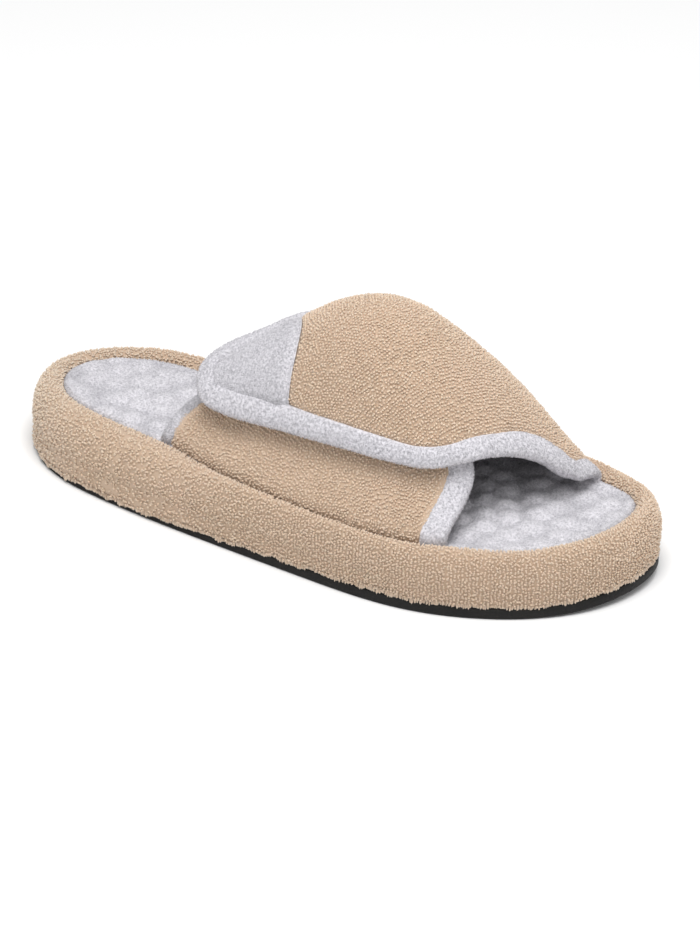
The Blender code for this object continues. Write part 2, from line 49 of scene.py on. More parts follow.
# Sizes of the solids
LENGTH = 262.0
BALL_WIDTH = 104.0
TOE_SPRING = 3.2
TOE_SPRING_START = 98.0
LOWER_EDGE_HEIGHT = 4.7
BULGE_HEIGHT = 14.5
RIM_CREST_SHARE = 0.6
RIM_INNER_DROP = 4.0
INSOLE_BOTTOM = 17.3
INSOLE_BELOW_RIM = 1.3
WALL = 3.0
FLAP_SPRING_HEIGHT = 27.0
ARCH_IN = 12.5
FLARE_END = 40.0
FLAP_FOOT_IN = 0.35
FOOT_DROP_PER_DEGREE = 0.8
UNDER_FLAP_RISE = 30.0
UNDER_DEPTH_MIDDLE = 5.1
UNDER_DEPTH_AT_BINDING = 6.6
UNDER_FLAP_END = 80.0

# How far the flaps' feet run down into the well, as an angle round the arch
HIDDEN_FOOT = 187.0

# How finely the outline and the platform's section are sampled
RING_COUNT = 720
SECTION_ROWS = 80

# Cloth. Its base lies below the solid's surface, so that the pile's tips come out at about that surface.
BASE_SUNK = 0.5
CLOTH_THICKNESS = 1.2
LINING_SUNK = 1.7
LINING_THICKNESS = 0.8
PANEL_IN = 1.6
TIP_CROWDING = 1.35
COVER_HANG = 2.6
COVER_HANG_START = 40.0
COVER_HANG_RUN = 110.0

# How far light spreads between the fibres, in metres
FIBRE_LIGHT_REACH = 0.0015

# Tufts. A size is half the tuft's length along its lean and half its length across.
LOOP_COLUMN = 1.36
LOOP_ROW = 0.98
PLATFORM_LOOP = (0.52, 0.44)
PLATFORM_LOOP_HEIGHT = 1.05
FRINGE_STEP = 0.7
FRINGE_TUFT = (0.55, 0.42)
FLAP_LOOP = (0.58, 0.41)
FLAP_LOOP_PITCH = 1.28
FLAP_LOOP_SPACING = 1.16
TOP_LOOP_TURN = 60.0
UNDER_LOOP_TURN = 78.0
SEAM_CLEAR = 0.5
INSOLE_NAP = (0.55, 0.38)
TAPE_NAP = (0.5, 0.32)

# Bindings
TOP_REAR_BINDING_WIDTH = 6.0
UNDER_REAR_BINDING_WIDTH = 4.0
UNDER_FRONT_BINDING_WIDTH = 11.5
UNDER_FRONT_EDGE_IN = 3.2
TOP_TAPE_HALF = 2.6
UNDER_FRONT_TAPE_HALF = 2.5
UNDER_REAR_TAPE_HALF = 1.7
SLIMMEST_TAPE_HALF = 1.3
FOLD_COUNT = 10

# The insole's quilting
PUFF_PITCH = 11.0
PUFF_ROW_PITCH = PUFF_PITCH * 0.86
PUFF_RISE = 2.6
PUFF_SUNK = 1.5
INSOLE_SHOULDER = 3.0

# The widest outline from above, lateral side first. Columns: along / LENGTH, across / BALL_WIDTH.
OUTLINE = (
    (-0.500, 0.026),
    (-0.438, -0.270),
    (-0.289, -0.406),
    (-0.115, -0.457),
    (0.079, -0.496),
    (0.236, -0.493),
    (0.384, -0.345),
    (0.484, -0.066),
    (0.491, 0.225),
    (0.400, 0.425),
    (0.215, 0.491),
    (0.022, 0.411),
    (-0.159, 0.360),
    (-0.334, 0.368),
    (-0.448, 0.253),
)

# The top of the rim before the toe spring. Columns: x, height.
RIM_HEIGHTS = ((-131.0, 27.6), (-60.0, 27.9), (0.0, 27.3), (50.0, 26.4), (100.0, 26.5), (131.0, 27.4))

# The rim's width. Columns: share of the way round from the heel by the lateral side, width.
RIM_WIDTHS = (
    (0.000, 11.5),
    (0.040, 12.5),
    (0.085, 15.5),
    (0.150, 15.0),
    (0.193, 10.5),
    (0.218, 8.0),
    (0.251, 6.2),
    (0.299, 5.2),
    (0.348, 5.8),
    (0.383, 7.6),
    (0.419, 7.2),
    (0.446, 8.0),
    (0.479, 9.6),
    (0.519, 10.2),
    (0.560, 9.6),
    (0.594, 12.0),
    (0.630, 12.5),
    (0.870, 12.5),
    (0.920, 11.0),
    (1.000, 11.5),
)

# The top flap's ridge over the foot. Columns: x, height.
CROWN = (
    (-60.0, 52.0),
    (-45.0, 60.3),
    (-27.0, 69.6),
    (-14.0, 78.0),
    (2.0, 89.0),
    (13.0, 94.0),
    (24.0, 96.0),
    (34.0, 94.0),
    (45.0, 88.0),
    (61.0, 77.0),
    (75.0, 64.0),
    (88.0, 47.3),
    (100.0, 31.5),
    (110.0, 29.0),
)

# How far the arch's shoulders are drawn in from an ellipse. Columns: x, lateral share, medial share.
SHOULDER_PINCH = (
    (-60.0, 0.010, 0.000),
    (0.0, 0.020, 0.000),
    (60.0, 0.010, 0.010),
    (95.0, 0.000, 0.080),
)

# The top flap's edge, from the rear medial foot round the tab to the front medial foot.
# Columns: x, angle round the arch from the lateral foot, in degrees.
TOP_FLAP_EDGE = (
    (-44.5, 178.0),
    (-33.0, 158.0),
    (-20.0, 138.0),
    (-13.0, 119.0),
    (-15.0, 104.0),
    (-23.0, 94.0),
    (-33.0, 87.0),
    (-40.5, 79.5),
    (-44.2, 67.0),
    (-43.2, 56.0),
    (-38.6, 44.5),
    (-30.4, 41.0),
    (-20.8, 39.6),
    (-1.9, 39.0),
    (16.5, 37.8),
    (34.2, 37.0),
    (50.4, 36.7),
    (57.6, 37.6),
    (64.1, 40.1),
    (69.9, 44.8),
    (75.2, 51.8),
    (80.1, 60.6),
    (84.3, 73.3),
    (87.7, 87.1),
    (91.0, 104.5),
    (93.0, 123.3),
    (94.8, 143.0),
    (97.0, 160.0),
    (97.0, 178.0),
)

# The row at the tab's tip, where the flap's rear edge ends and its front edge starts
TAB_TIP_ROW = 8

# The under flap's edges, from the lateral foot to the hidden end. Columns: angle, rear x, front x.
UNDER_FLAP_EDGES = (
    (2.0, -56.3, 75.0),
    (12.0, -54.8, 76.5),
    (24.0, -54.2, 78.0),
    (36.0, -51.5, 78.2),
    (48.0, -47.0, 75.5),
    (64.0, -40.0, 68.5),
    (82.0, -34.0, 58.0),
)

# The top flap's binding along its lateral and front edge. Columns: x, width.
TOP_BINDING_WIDTHS = (
    (-44.0, 6.0),
    (-30.0, 7.2),
    (-12.0, 7.6),
    (6.0, 6.8),
    (25.0, 6.1),
    (41.0, 5.6),
    (57.0, 5.0),
    (67.0, 4.8),
    (76.0, 5.2),
    (83.0, 6.0),
    (96.0, 7.0),
)

# The seam where the grey tab facing meets the panel. Columns: angle, x.
TAB_SEAM = ((40.0, 1.5), (50.0, -0.2), (60.0, -1.4), (70.0, -2.4), (80.0, -5.3), (95.0, -14.0))

# The camera, from the photograph's view of the slipper
CAMERA_AZIMUTH = 30.67
CAMERA_ELEVATION = 29.74
CAMERA_ROLL = 0.56
CAMERA_DISTANCE = 1469.9
FOCAL_LENGTH_PX = 3852.6
ORIGIN_RIGHT_PX = -20.4
ORIGIN_DOWN_PX = 40.2
IMAGE_HEIGHT_PX = 933
SENSOR_MM = 36.0

# The studio's lights. Columns: name, place in metres, size in metres, watts.
LIGHTS = (("key", (0.25, -0.35, 1.25), 0.8, 13.5), ("fill", (0.9, -0.9, 0.7), 1.0, 1.0))
WORLD_STRENGTH = 0.67
FLOOR_ALBEDO = 0.90
FLOOR_HALF = 4000.0


# Numbers and curves

def smooth_step(value):
    t = np.clip(value, 0.0, 1.0)
    return t * t * (3.0 - 2.0 * t)


def smooth_table(rows, at, column=1):
    """The table's column at places in its first column, on a smooth curve through the rows."""
    rows = np.array(rows, float)
    xs, ys = rows[:, 0], rows[:, column]
    low = np.maximum(np.arange(len(xs)) - 1, 0)
    high = np.minimum(np.arange(len(xs)) + 1, len(xs) - 1)
    slopes = (ys[high] - ys[low]) / (xs[high] - xs[low])
    at = np.clip(np.asarray(at, float), xs[0], xs[-1])
    i = np.clip(np.searchsorted(xs, at, side="right") - 1, 0, len(xs) - 2)
    step = xs[i + 1] - xs[i]
    t = (at - xs[i]) / step
    return (
        (2 * t**3 - 3 * t**2 + 1) * ys[i]
        + (t**3 - 2 * t**2 + t) * step * slopes[i]
        + (3 * t**2 - 2 * t**3) * ys[i + 1]
        + (t**3 - t**2) * step * slopes[i + 1]
    )


def lattice_value(cell, seed):
    """A fixed pseudo-random number from 0 to 1 for each whole-number cell."""
    mixed = cell[..., 0] * 374761393 + cell[..., 1] * 668265263 + cell[..., 2] * 1440662683
    mixed = (mixed + seed * 974634777) & 0xFFFFFFFF
    mixed = ((mixed ^ (mixed >> 13)) * 1274126177) & 0xFFFFFFFF
    mixed = ((mixed ^ (mixed >> 15)) * 2246822519) & 0xFFFFFFFF
    return (mixed ^ (mixed >> 16)) / 4294967296.0


def noise(points, scale, seed):
    """Smooth noise from -1 to 1, with features of about the given size in millimetres."""
    place = np.asarray(points, float) / scale
    cell = np.floor(place).astype(np.int64)
    share = smooth_step(place - cell)
    total = np.zeros(place.shape[:-1])
    for corner in np.ndindex(2, 2, 2):
        weight = np.prod(np.where(corner, share, 1.0 - share), axis=-1)
        total += weight * lattice_value(cell + corner, seed)
    return 2.0 * total - 1.0


def heading(degrees):
    """The cosine and the sine of an angle in degrees."""
    return math.cos(math.radians(degrees)), math.sin(math.radians(degrees))


def unit(vectors):
    return vectors / np.maximum(np.linalg.norm(vectors, axis=-1, keepdims=True), 1e-9)


def joined(x, y=0.0, z=0.0):
    """Points from their coordinates, each an array or one number."""
    return np.stack(np.broadcast_arrays(x, y, z), axis=-1)


def along_line(line):
    """The running length at each point of a line."""
    steps = np.linalg.norm(np.diff(line, axis=0), axis=1)
    return np.concatenate([[0.0], np.cumsum(steps)])


def at_lengths(values, lengths, at):
    """Each column of values, read at running lengths."""
    return np.stack([np.interp(at, lengths, column) for column in np.asarray(values).T], axis=-1)


def between(grid, i, j):
    """A grid's values at places between its rows, which wrap round, and its columns."""
    low, left = np.floor(i).astype(int), np.minimum(j.astype(int), grid.shape[1] - 2)
    a, b = (i - low)[..., None], (j - left)[..., None]
    high = (low + 1) % len(grid)
    near = grid[low, left] * (1 - b) + grid[low, left + 1] * b
    far = grid[high, left] * (1 - b) + grid[high, left + 1] * b
    return near * (1 - a) + far * a


# The platform's outline and side

def closed_spline(points, count):
    """Evenly spaced points on the periodic cubic through the given points, and their outward normals."""
    points = np.array(points, float)
    n = len(points)
    steps = np.linalg.norm(np.roll(points, -1, axis=0) - points, axis=1)
    matrix, right = np.zeros((n, n)), np.zeros((n, 2))
    for i in range(n):
        before, after = steps[i - 1], steps[i]
        matrix[i, i - 1] = before
        matrix[i, i] = 2.0 * (before + after)
        matrix[i, (i + 1) % n] = after
        right[i] = 6.0 * (
            (points[(i + 1) % n] - points[i]) / after - (points[i] - points[i - 1]) / before
        )
    bends = np.linalg.solve(matrix, right)
    dense = []
    for i in range(n):
        a, b, h = points[i], points[(i + 1) % n], steps[i]
        bend_a, bend_b = bends[i], bends[(i + 1) % n]
        t = np.linspace(0.0, h, 60, endpoint=False)[:, None]
        u = h - t
        bent = bend_a * u**3 / (6 * h) + bend_b * t**3 / (6 * h)
        dense.append(bent + (a / h - bend_a * h / 6) * u + (b / h - bend_b * h / 6) * t)
    dense = np.concatenate(dense + [dense[0][:1]])
    lengths = along_line(dense)
    even = at_lengths(dense, lengths, np.linspace(0.0, lengths[-1], count, endpoint=False))
    tangent = np.roll(even, -1, axis=0) - np.roll(even, 1, axis=0)
    return even, unit(np.stack([tangent[:, 1], -tangent[:, 0]], axis=1)), lengths[-1]


RING, RING_NORMALS, RING_LENGTH = closed_spline(
    [(LENGTH * along, BALL_WIDTH * across) for along, across in OUTLINE], RING_COUNT
)


def toe_lift(x):
    """How far the toe spring raises what stands at x."""
    toe = LENGTH / 2
    return TOE_SPRING * np.maximum(0.0, (x - TOE_SPRING_START) / (toe - TOE_SPRING_START)) ** 2


def ring_point(along, inset):
    """Points at running lengths on the outline, moved in. Only x and y."""
    turn = np.asarray(along) / RING_LENGTH * RING_COUNT % RING_COUNT
    stations = np.arange(RING_COUNT + 1)
    flat, out = (
        np.stack([np.interp(turn, stations, np.append(c, c[0])) for c in table.T], axis=-1)
        for table in (RING, RING_NORMALS)
    )
    return flat - unit(out) * np.asarray(inset)[..., None]


def station_section(width, top):
    """Inset and height down the platform's section, from the lower edge over the rim into the well."""
    crest = width * RIM_CREST_SHARE
    rows = []
    for degrees in np.linspace(0.0, 90.0, 14, endpoint=False):
        rise = heading(degrees)[1]
        rows.append(((1 - rise) ** 1.5, LOWER_EDGE_HEIGHT + (BULGE_HEIGHT - LOWER_EDGE_HEIGHT) * rise))
    for degrees in np.linspace(0.0, 90.0, 22):
        across, rise = heading(degrees)
        rows.append((crest * (1 - across), BULGE_HEIGHT + (top - BULGE_HEIGHT) * rise))
    for degrees in np.linspace(8.0, 90.0, 12):
        fall, across = heading(degrees)
        rows.append((crest + (width - crest) * across, top - RIM_INNER_DROP * (1 - fall)))
    rows.append((width, INSOLE_BOTTOM + 1.0))
    return np.array(rows)


def all_sections():
    """Every ring station's section at evenly spaced shares of its length, and the lengths."""
    shares = np.linspace(0.0, 1.0, SECTION_ROWS)
    tables, lengths = [], []
    for k in range(RING_COUNT):
        width = float(smooth_table(RIM_WIDTHS, k / RING_COUNT))
        section = station_section(width, float(smooth_table(RIM_HEIGHTS, RING[k, 0])))
        run = along_line(section)
        tables.append(at_lengths(section, run, shares * run[-1]))
        lengths.append(run[-1])
    return np.array(tables), np.array(lengths)


SECTIONS, SECTION_LENGTHS = all_sections()


def cover_drop(x):
    """How far the cloth cover hangs over the outsole's edge: more towards the heel."""
    return COVER_HANG * smooth_step((COVER_HANG_START - x) / COVER_HANG_RUN)


def section_place(along, share):
    """Inset and height at shares of the section's length, and that length, at running lengths."""
    turn = (along / RING_LENGTH * RING_COUNT) % RING_COUNT
    row = np.clip(share, 0.0, 1.0) * (SECTION_ROWS - 1)
    return between(SECTIONS, turn, row), SECTION_LENGTHS[np.floor(turn).astype(int)]


def platform_point(along, share):
    """Points of the platform's surface, at shares of the way from its lower edge into the well."""
    along, share = np.broadcast_arrays(np.asarray(along, float), np.asarray(share, float))
    row, length = section_place(along, share)
    drop = cover_drop(ring_point(along, 0.0)[..., 0])
    low = 1.0 - smooth_step(share * length / 7.0)
    ragged = 0.5 * noise(joined(along), 5.0, 91)
    flat = ring_point(along, row[..., 0] - low * (0.35 + 0.55 * drop / COVER_HANG))
    height = row[..., 1] - low * (drop + ragged) + toe_lift(flat[..., 0])
    return joined(flat[..., 0], flat[..., 1], height)


def platform_frame(along, share):
    """Points of the platform's surface, outward normals and the way up the section."""
    run = platform_point(along + 0.4, share) - platform_point(along - 0.4, share)
    up = platform_point(along, share + 0.01) - platform_point(along, share - 0.01)
    return platform_point(along, share), unit(np.cross(run, up)), unit(up)


def wall_table(side, insets):
    """x and y of the outline, moved in, on the lateral side (-1) or the medial side (+1)."""
    ring = RING - RING_NORMALS * np.reshape(insets, (-1, 1))
    ring = np.roll(ring, -int(np.argmin(ring[:, 0])), axis=0)
    toe = int(np.argmax(ring[:, 0]))
    chain = ring[: toe + 1] if side < 0 else ring[toe:]
    return chain[np.argsort(chain[:, 0])]


ARCH_SIDES = {side: wall_table(side, ARCH_IN) for side in (-1, 1)}
WELL_SIDE = wall_table(-1, smooth_table(RIM_WIDTHS, np.arange(RING_COUNT) / RING_COUNT))


def arch_size(x):
    """Centre, half width and rise of the upper's arch at x."""
    lateral, medial = np.interp(x, *ARCH_SIDES[-1].T), np.interp(x, *ARCH_SIDES[1].T)
    rise = smooth_table(CROWN, x) - FLAP_SPRING_HEIGHT
    return (lateral + medial) / 2, (medial - lateral) / 2 - FLAP_FOOT_IN, rise


def flare(x, angle):
    """How far the arch's lateral foot is moved across, to stand at the well's wall."""
    step = np.interp(x, *WELL_SIDE.T) - np.interp(x, *ARCH_SIDES[-1].T)
    return step * (1.0 - smooth_step(angle / FLARE_END))


def arch_point(x, angle):
    """Points of the top flap's outer surface. The angle runs from 0 at the lateral foot to 180."""
    x, angle = np.broadcast_arrays(np.asarray(x, float), np.asarray(angle, float))
    centre, half, rise = arch_size(x)
    turn = np.radians(np.clip(angle, 0.0, 180.0))
    below = np.maximum(-angle, angle - 180.0).clip(min=0.0) * FOOT_DROP_PER_DEGREE
    lateral = smooth_table(SHOULDER_PINCH, x, 1)
    medial = smooth_table(SHOULDER_PINCH, x, 2)
    pinch = lateral + (medial - lateral) * smooth_step((angle - 60.0) / 60.0)
    reach = 1.0 / np.hypot(np.cos(turn) / half, np.sin(turn) / rise)
    reach *= 1.0 - pinch * np.sin(2.0 * turn) ** 2
    height = FLAP_SPRING_HEIGHT + reach * np.sin(turn) - below
    return joined(x, centre - reach * np.cos(turn) + flare(x, angle), height)


def arch_frame(x, angle):
    """Points of the arch, outward normals, and how they move per millimetre of x and per degree."""
    along = arch_point(x + 0.5, angle) - arch_point(x - 0.5, angle)
    across = arch_point(x, angle + 0.5) - arch_point(x, angle - 0.5)
    return arch_point(x, angle), unit(np.cross(along, across)), along, across


def flap_point(x, angle, depth):
    """Points at a depth under the top flap's outer surface."""
    point, out = arch_frame(np.asarray(x, float), np.asarray(angle, float))[:2]
    return point - out * np.asarray(depth)[..., None]


def under_depth(x, angle):
    """How deep the under flap's outer surface lies under the top flap's."""
    front = smooth_step((x - 42.0) / 14.0)
    rear = smooth_step((-16.0 - x) / 12.0)
    spread = UNDER_DEPTH_AT_BINDING - UNDER_DEPTH_MIDDLE
    full = UNDER_DEPTH_MIDDLE + spread * np.maximum(front, rear)
    return full * smooth_step(angle / UNDER_FLAP_RISE)


def top_depth(x, angle):
    return np.zeros(np.broadcast(x, angle).shape)


def edge_curve(rows, count, crowding=1.0):
    """Places on a smooth curve through (x, angle) rows, spaced by length and crowding to its end."""
    order = np.column_stack([np.arange(len(rows)), rows])
    fine = np.linspace(0.0, len(rows) - 1.0, 40 * len(rows))
    flat = np.stack([smooth_table(order, fine, 1), smooth_table(order, fine, 2)], axis=-1)
    lengths = along_line(arch_point(flat[:, 0], flat[:, 1]))
    at = lengths[-1] * (1.0 - np.linspace(1.0, 0.0, count) ** crowding)
    return at_lengths(flat, lengths, at)


def moved_in(edge, widths):
    """The edge's (x, angle) places moved over the surface to its left, by one width or one for each."""
    _, out, along, across = arch_frame(edge[:, 0], edge[:, 1])
    run = np.gradient(edge, axis=0)
    run = along * run[:, :1] + across * run[:, 1:]
    inward = unit(np.cross(out, run)) * np.broadcast_to(widths, len(edge))[:, None]
    moved = edge.copy()
    for i in range(len(edge)):
        slopes = np.stack([along[i], across[i]], axis=1)
        moved[i] += np.linalg.lstsq(slopes, inward[i], rcond=None)[0]
    return moved


def top_flap_edge(count):
    """The top flap's whole edge, from the rear medial foot to the front one, run down into the well."""
    rear, front = TOP_FLAP_EDGE[0], TOP_FLAP_EDGE[-1]
    return edge_curve(((rear[0], HIDDEN_FOOT),) + TOP_FLAP_EDGE + ((front[0], HIDDEN_FOOT),), count)


def top_binding_width(edge):
    """The width of the top flap's binding along its edge: wider under the tab."""
    front = smooth_table(TOP_BINDING_WIDTHS, edge[:, 0])
    front = front - 1.6 * smooth_step((edge[:, 1] - 110.0) / 40.0)
    ahead = np.arange(len(edge)) > np.argmin(edge[:, 0])
    return np.where(ahead, front, TOP_REAR_BINDING_WIDTH)


def under_flap_edge(column, count):
    """The under flap's rear (1) or front (2) edge, from inside the well up to the hidden end."""
    angles = np.linspace(180.0 - HIDDEN_FOOT, UNDER_FLAP_END, 12)
    return edge_curve(np.stack([smooth_table(UNDER_FLAP_EDGES, angles, column), angles], axis=-1), count)


def inside(places, polygon):
    """Which places lie inside a closed outline."""
    held = np.zeros(len(places), bool)
    x, y = places[:, 0], places[:, 1]
    for (x0, y0), (x1, y1) in zip(polygon, np.roll(polygon, -1, axis=0)):
        if y0 == y1:
            continue
        crosses = (y0 > y) != (y1 > y)
        held ^= crosses & (x < (x1 - x0) * (y - y0) / (y1 - y0) + x0)
    return held


def nearest(points, line, chunk=2000):
    """The distance from each point to the nearest point of a dense line."""
    best = np.full(len(points), np.inf)
    for start in range(0, len(points), chunk):
        part = points[start : start + chunk]
        gaps = np.linalg.norm(part[:, None, :] - line[None, :, :], axis=2)
        best[start : start + chunk] = gaps.min(axis=1)
    return best


# Meshes

def new_object(name, data):
    made = bpy.data.objects.new(name, data)
    bpy.context.scene.collection.objects.link(made)
    return made


def build(name, points, faces, material, smooth=True, pile=None):
    """A mesh object from millimetre points. pile holds a tip share and a tone for each point."""
    mesh = bpy.data.meshes.new(name)
    mesh.from_pydata((np.asarray(points, float) * METRES_PER_MM).tolist(), [], faces)
    mesh.validate()
    if smooth:
        mesh.shade_smooth()
    if pile is not None:
        layer = mesh.color_attributes.new("pile", "FLOAT_COLOR", "POINT")
        values = np.zeros((len(points), 4))
        values[:, :2] = pile
        values[:, 3] = 1.0
        layer.data.foreach_set("color", values.ravel())
    made = new_object(name, mesh)
    made.data.materials.append(material)
    return made


def grid_faces(rows, columns, start=0, wrap=False, flip=False):
    """Faces of a grid of points, row by row. With wrap the last column meets the first."""
    faces = []
    span = columns if wrap else columns - 1
    for i in range(rows - 1):
        for j in range(span):
            k = (j + 1) % columns
            face = (i * columns + j, i * columns + k, (i + 1) * columns + k, (i + 1) * columns + j)
            face = tuple(start + c for c in face)
            faces.append(face[::-1] if flip else face)
    return faces


def tube_faces(rows, columns):
    """Faces of a wrapped grid that is closed at both ends."""
    last = (rows - 1) * columns
    ends = [tuple(reversed(range(columns))), tuple(range(last, last + columns))]
    return grid_faces(rows, columns, wrap=True) + ends


def closed_sheet(outer, inner):
    """Points and faces of a closed wall between two grids of equal size."""
    rows, columns = outer.shape[:2]
    back = rows * columns
    points = np.concatenate([outer.reshape(-1, 3), inner.reshape(-1, 3)])
    faces = grid_faces(rows, columns, 0, flip=True) + grid_faces(rows, columns, back)
    at = np.arange(back).reshape(rows, columns)
    rim = np.concatenate([at[0], at[1:, -1], at[-1, -2::-1], at[-2:0:-1, 0]]).tolist()
    for a, b in zip(rim, rim[1:] + rim[:1]):
        faces.append((a, b, back + b, back + a))
    return points, faces


# A tuft's rings. Columns: height share, width share, share of its lean.
LOOP_RINGS = ((-0.5, 0.75, 0.0), (0.55, 1.0, 0.5))
NAP_RINGS = ((-0.3, 1.0, 0.0),)


def pile_points(centres, normals, strokes, rng, size, height, lean, wild, levels=LOOP_RINGS):
    """Small leaning tufts, one at each centre. Returns points, faces and the pile's values.

    lean is a tuft's push along its stroke, as a share of its height. wild is how far strokes turn at
    random, in radians. levels holds the rings under the tip.
    """
    count = len(centres)
    side = unit(np.cross(normals, strokes))
    turn = rng.normal(0.0, wild, count)[:, None]
    stroke = strokes * np.cos(turn) + side * np.sin(turn)
    side = np.cross(normals, stroke)
    long_half = size[0] * rng.uniform(0.8, 1.2, count)[:, None]
    short_half = size[1] * rng.uniform(0.8, 1.2, count)[:, None]
    tall = height * rng.uniform(0.75, 1.2, count)[:, None]
    push = stroke * lean * tall + side * rng.normal(0.0, 0.18, count)[:, None] * tall
    parts = []
    for rise, spread, share in levels:
        middle = centres + normals * rise * tall + push * share
        for a, b in ((1, 0), (0, 1), (-1, 0), (0, -1)):
            parts.append(middle + stroke * long_half * a * spread + side * short_half * b * spread)
    parts.append(centres + normals * tall + push)
    points = np.stack(parts, axis=1)
    each = points.shape[1]
    last = each - 5
    quads = [(j, (j + 1) % 4, 4 + (j + 1) % 4, 4 + j) for j in range(4 if last else 0)]
    tops = [(last + j, last + (j + 1) % 4, each - 1) for j in range(4)]
    starts = np.arange(count) * each
    faces = []
    for corners in quads + tops:
        faces += (starts[:, None] + np.array(corners)).tolist()
    # Tip shares: the materials paint shade where these are low, at the tufts' roots.
    tips = np.repeat(np.append(0.7 * np.arange(len(levels)), 1.0), [4] * len(levels) + [1])
    tone = rng.uniform(0.0, 1.0, count)
    pile = np.stack([np.tile(tips, count), np.repeat(tone, each)], axis=-1)
    return points.reshape(-1, 3), faces, pile


def grid_normals(grid):
    """Unit normals of a grid of points."""
    return unit(np.cross(np.gradient(grid, axis=1), np.gradient(grid, axis=0)))


def nap_on_grid(grid, normals, steps, rng, size, height, shade=None):
    """A short nap of small tufts over a grid of points, so many rows and columns apart."""
    rows, columns = grid.shape[:2]
    i, j = np.meshgrid(np.arange(1, rows - 2, steps[0]), np.arange(1, columns - 2, steps[1]), indexing="ij")
    i = np.clip(i.ravel() + rng.normal(0.0, 0.4, i.size) * steps[0], 0.0, rows - 1.001)
    j = np.clip(j.ravel() + rng.normal(0.0, 0.4, j.size) * steps[1], 0.0, columns - 1.001)
    i0, j0 = i.astype(int), j.astype(int)
    places = (between(grid, i, j), normals[i0, j0], unit(grid[i0, j0 + 1] - grid[i0, j0]))
    points, faces, pile = pile_points(*places, rng, size, height, 0.5, 1.2, NAP_RINGS)
    if shade is not None:
        each = len(points) // len(i)
        pile[:, 1] = 0.25 * pile[:, 1] + 0.75 * np.repeat(shade[i0, j0], each)
    return points, faces, pile


# A low tip share gives a sheet the painted root shade of the cloth between the tufts.
def plain_pile(points, tip=0.0, tone=0.5):
    return np.tile([tip, tone], (len(points), 1))


def lumps(points, seed):
    """The soft unevenness of padded cloth, in millimetres."""
    return 0.35 * noise(points, 26.0, seed) + 0.16 * noise(points, 9.0, seed + 1)


# Materials

def set_inputs(node, values):
    for key, value in values.items():
        node.inputs[key].default_value = value


def new_material(name, roughness, sheen=0.0, sheen_tint=(1.0, 1.0, 1.0)):
    made = bpy.data.materials.new(name)
    made.use_nodes = True
    shader = made.node_tree.nodes["Principled BSDF"]
    set_inputs(shader, {"Roughness": roughness, "Specular IOR Level": 0.25})
    set_inputs(shader, {"Sheen Weight": sheen, "Sheen Roughness": 0.5, "Sheen Tint": (*sheen_tint, 1.0)})
    return made, made.node_tree, shader


def soften(shader, weight, radius):
    """Lets light spread a little way through the fibres."""
    set_inputs(shader, {"Subsurface Weight": weight, "Subsurface Radius": radius})
    set_inputs(shader, {"Subsurface Scale": FIBRE_LIGHT_REACH})


def add_node(tree, kind, **values):
    node = tree.nodes.new(kind)
    for key, value in values.items():
        if key in node.inputs:
            node.inputs[key].default_value = value
        else:
            setattr(node, key, value)
    return node


def noise_node(tree, scale, detail=3.0, roughness=0.55):
    """Noise in object coordinates. scale is in features per metre."""
    place = add_node(tree, "ShaderNodeTexCoord")
    made = add_node(tree, "ShaderNodeTexNoise", Scale=scale, Detail=detail, Roughness=roughness)
    tree.links.new(place.outputs["Object"], made.inputs["Vector"])
    return made


def mix_colours(tree, share, first, second):
    """A mix of two colours, each a socket or a tuple, by a socket."""
    node = add_node(tree, "ShaderNodeMix", data_type="RGBA")
    tree.links.new(share, node.inputs[0])
    for colour, entry in ((first, 6), (second, 7)):
        if isinstance(colour, tuple):
            node.inputs[entry].default_value = (*colour, 1.0)
        else:
            tree.links.new(colour, node.inputs[entry])
    return node.outputs[2]


def ranged(tree, value, low, high, new_low=0.0, new_high=1.0):
    """A socket's value moved from one range to another and held there."""
    node = add_node(tree, "ShaderNodeMapRange")
    set_inputs(node, {"From Min": low, "From Max": high, "To Min": new_low, "To Max": new_high})
    tree.links.new(value, node.inputs["Value"])
    return node.outputs["Result"]


def add_bump(tree, shader, height, distance, strength):
    """Adds a bump over any that the shader has."""
    node = add_node(tree, "ShaderNodeBump", Distance=distance, Strength=strength)
    tree.links.new(height, node.inputs["Height"])
    entry = shader.inputs["Normal"]
    if entry.is_linked:
        tree.links.new(entry.links[0].from_socket, node.inputs["Normal"])
    tree.links.new(node.outputs["Normal"], entry)


def pile_channels(tree):
    """The sockets of the pile's tip share, which sets the painted shade at the roots, and of its tone,
    which on the insole carries painted shade in the quilting's valleys.
    """
    pile = add_node(tree, "ShaderNodeAttribute", attribute_name="pile")
    split = add_node(tree, "ShaderNodeSeparateColor")
    tree.links.new(pile.outputs["Color"], split.inputs["Color"])
    return split.outputs["Red"], split.outputs["Green"]


def pile_material(name, root, low, high, cloud, worn):
    """Cloth with a pile. root is the darker colour at the loops' roots and between them, painted shade; low
    to high the range of the tips.

    cloud is the colour of large soft patches, and worn that of the brushed heel.
    """
    made, tree, shader = new_material(name, 0.95, 0.5, (1.0, 0.95, 0.9))
    tip, loop_tone = pile_channels(tree)
    tone = mix_colours(tree, loop_tone, low, high)
    patches = ranged(tree, noise_node(tree, 38.0, 2.0).outputs["Fac"], 0.35, 0.65)
    tone = mix_colours(tree, patches, tone, cloud)
    place = add_node(tree, "ShaderNodeTexCoord")
    spread = add_node(tree, "ShaderNodeSeparateXYZ")
    tree.links.new(place.outputs["Object"], spread.inputs["Vector"])
    brushed = ranged(tree, spread.outputs["X"], -0.085, -0.128, 0.0, 0.7)
    tone = mix_colours(tree, brushed, tone, worn)
    # Painted shade: down each loop the colour falls from the tips' tone to the darker root colour.
    colour = mix_colours(tree, ranged(tree, tip, 0.0, 0.75), root, tone)
    tree.links.new(colour, shader.inputs["Base Color"])
    soften(shader, 0.12, (1.0, 0.62, 0.42))
    fibres = noise_node(tree, 2600.0, 3.0, 0.65)
    add_bump(tree, shader, fibres.outputs["Fac"], 0.0004, 0.7)
    return made


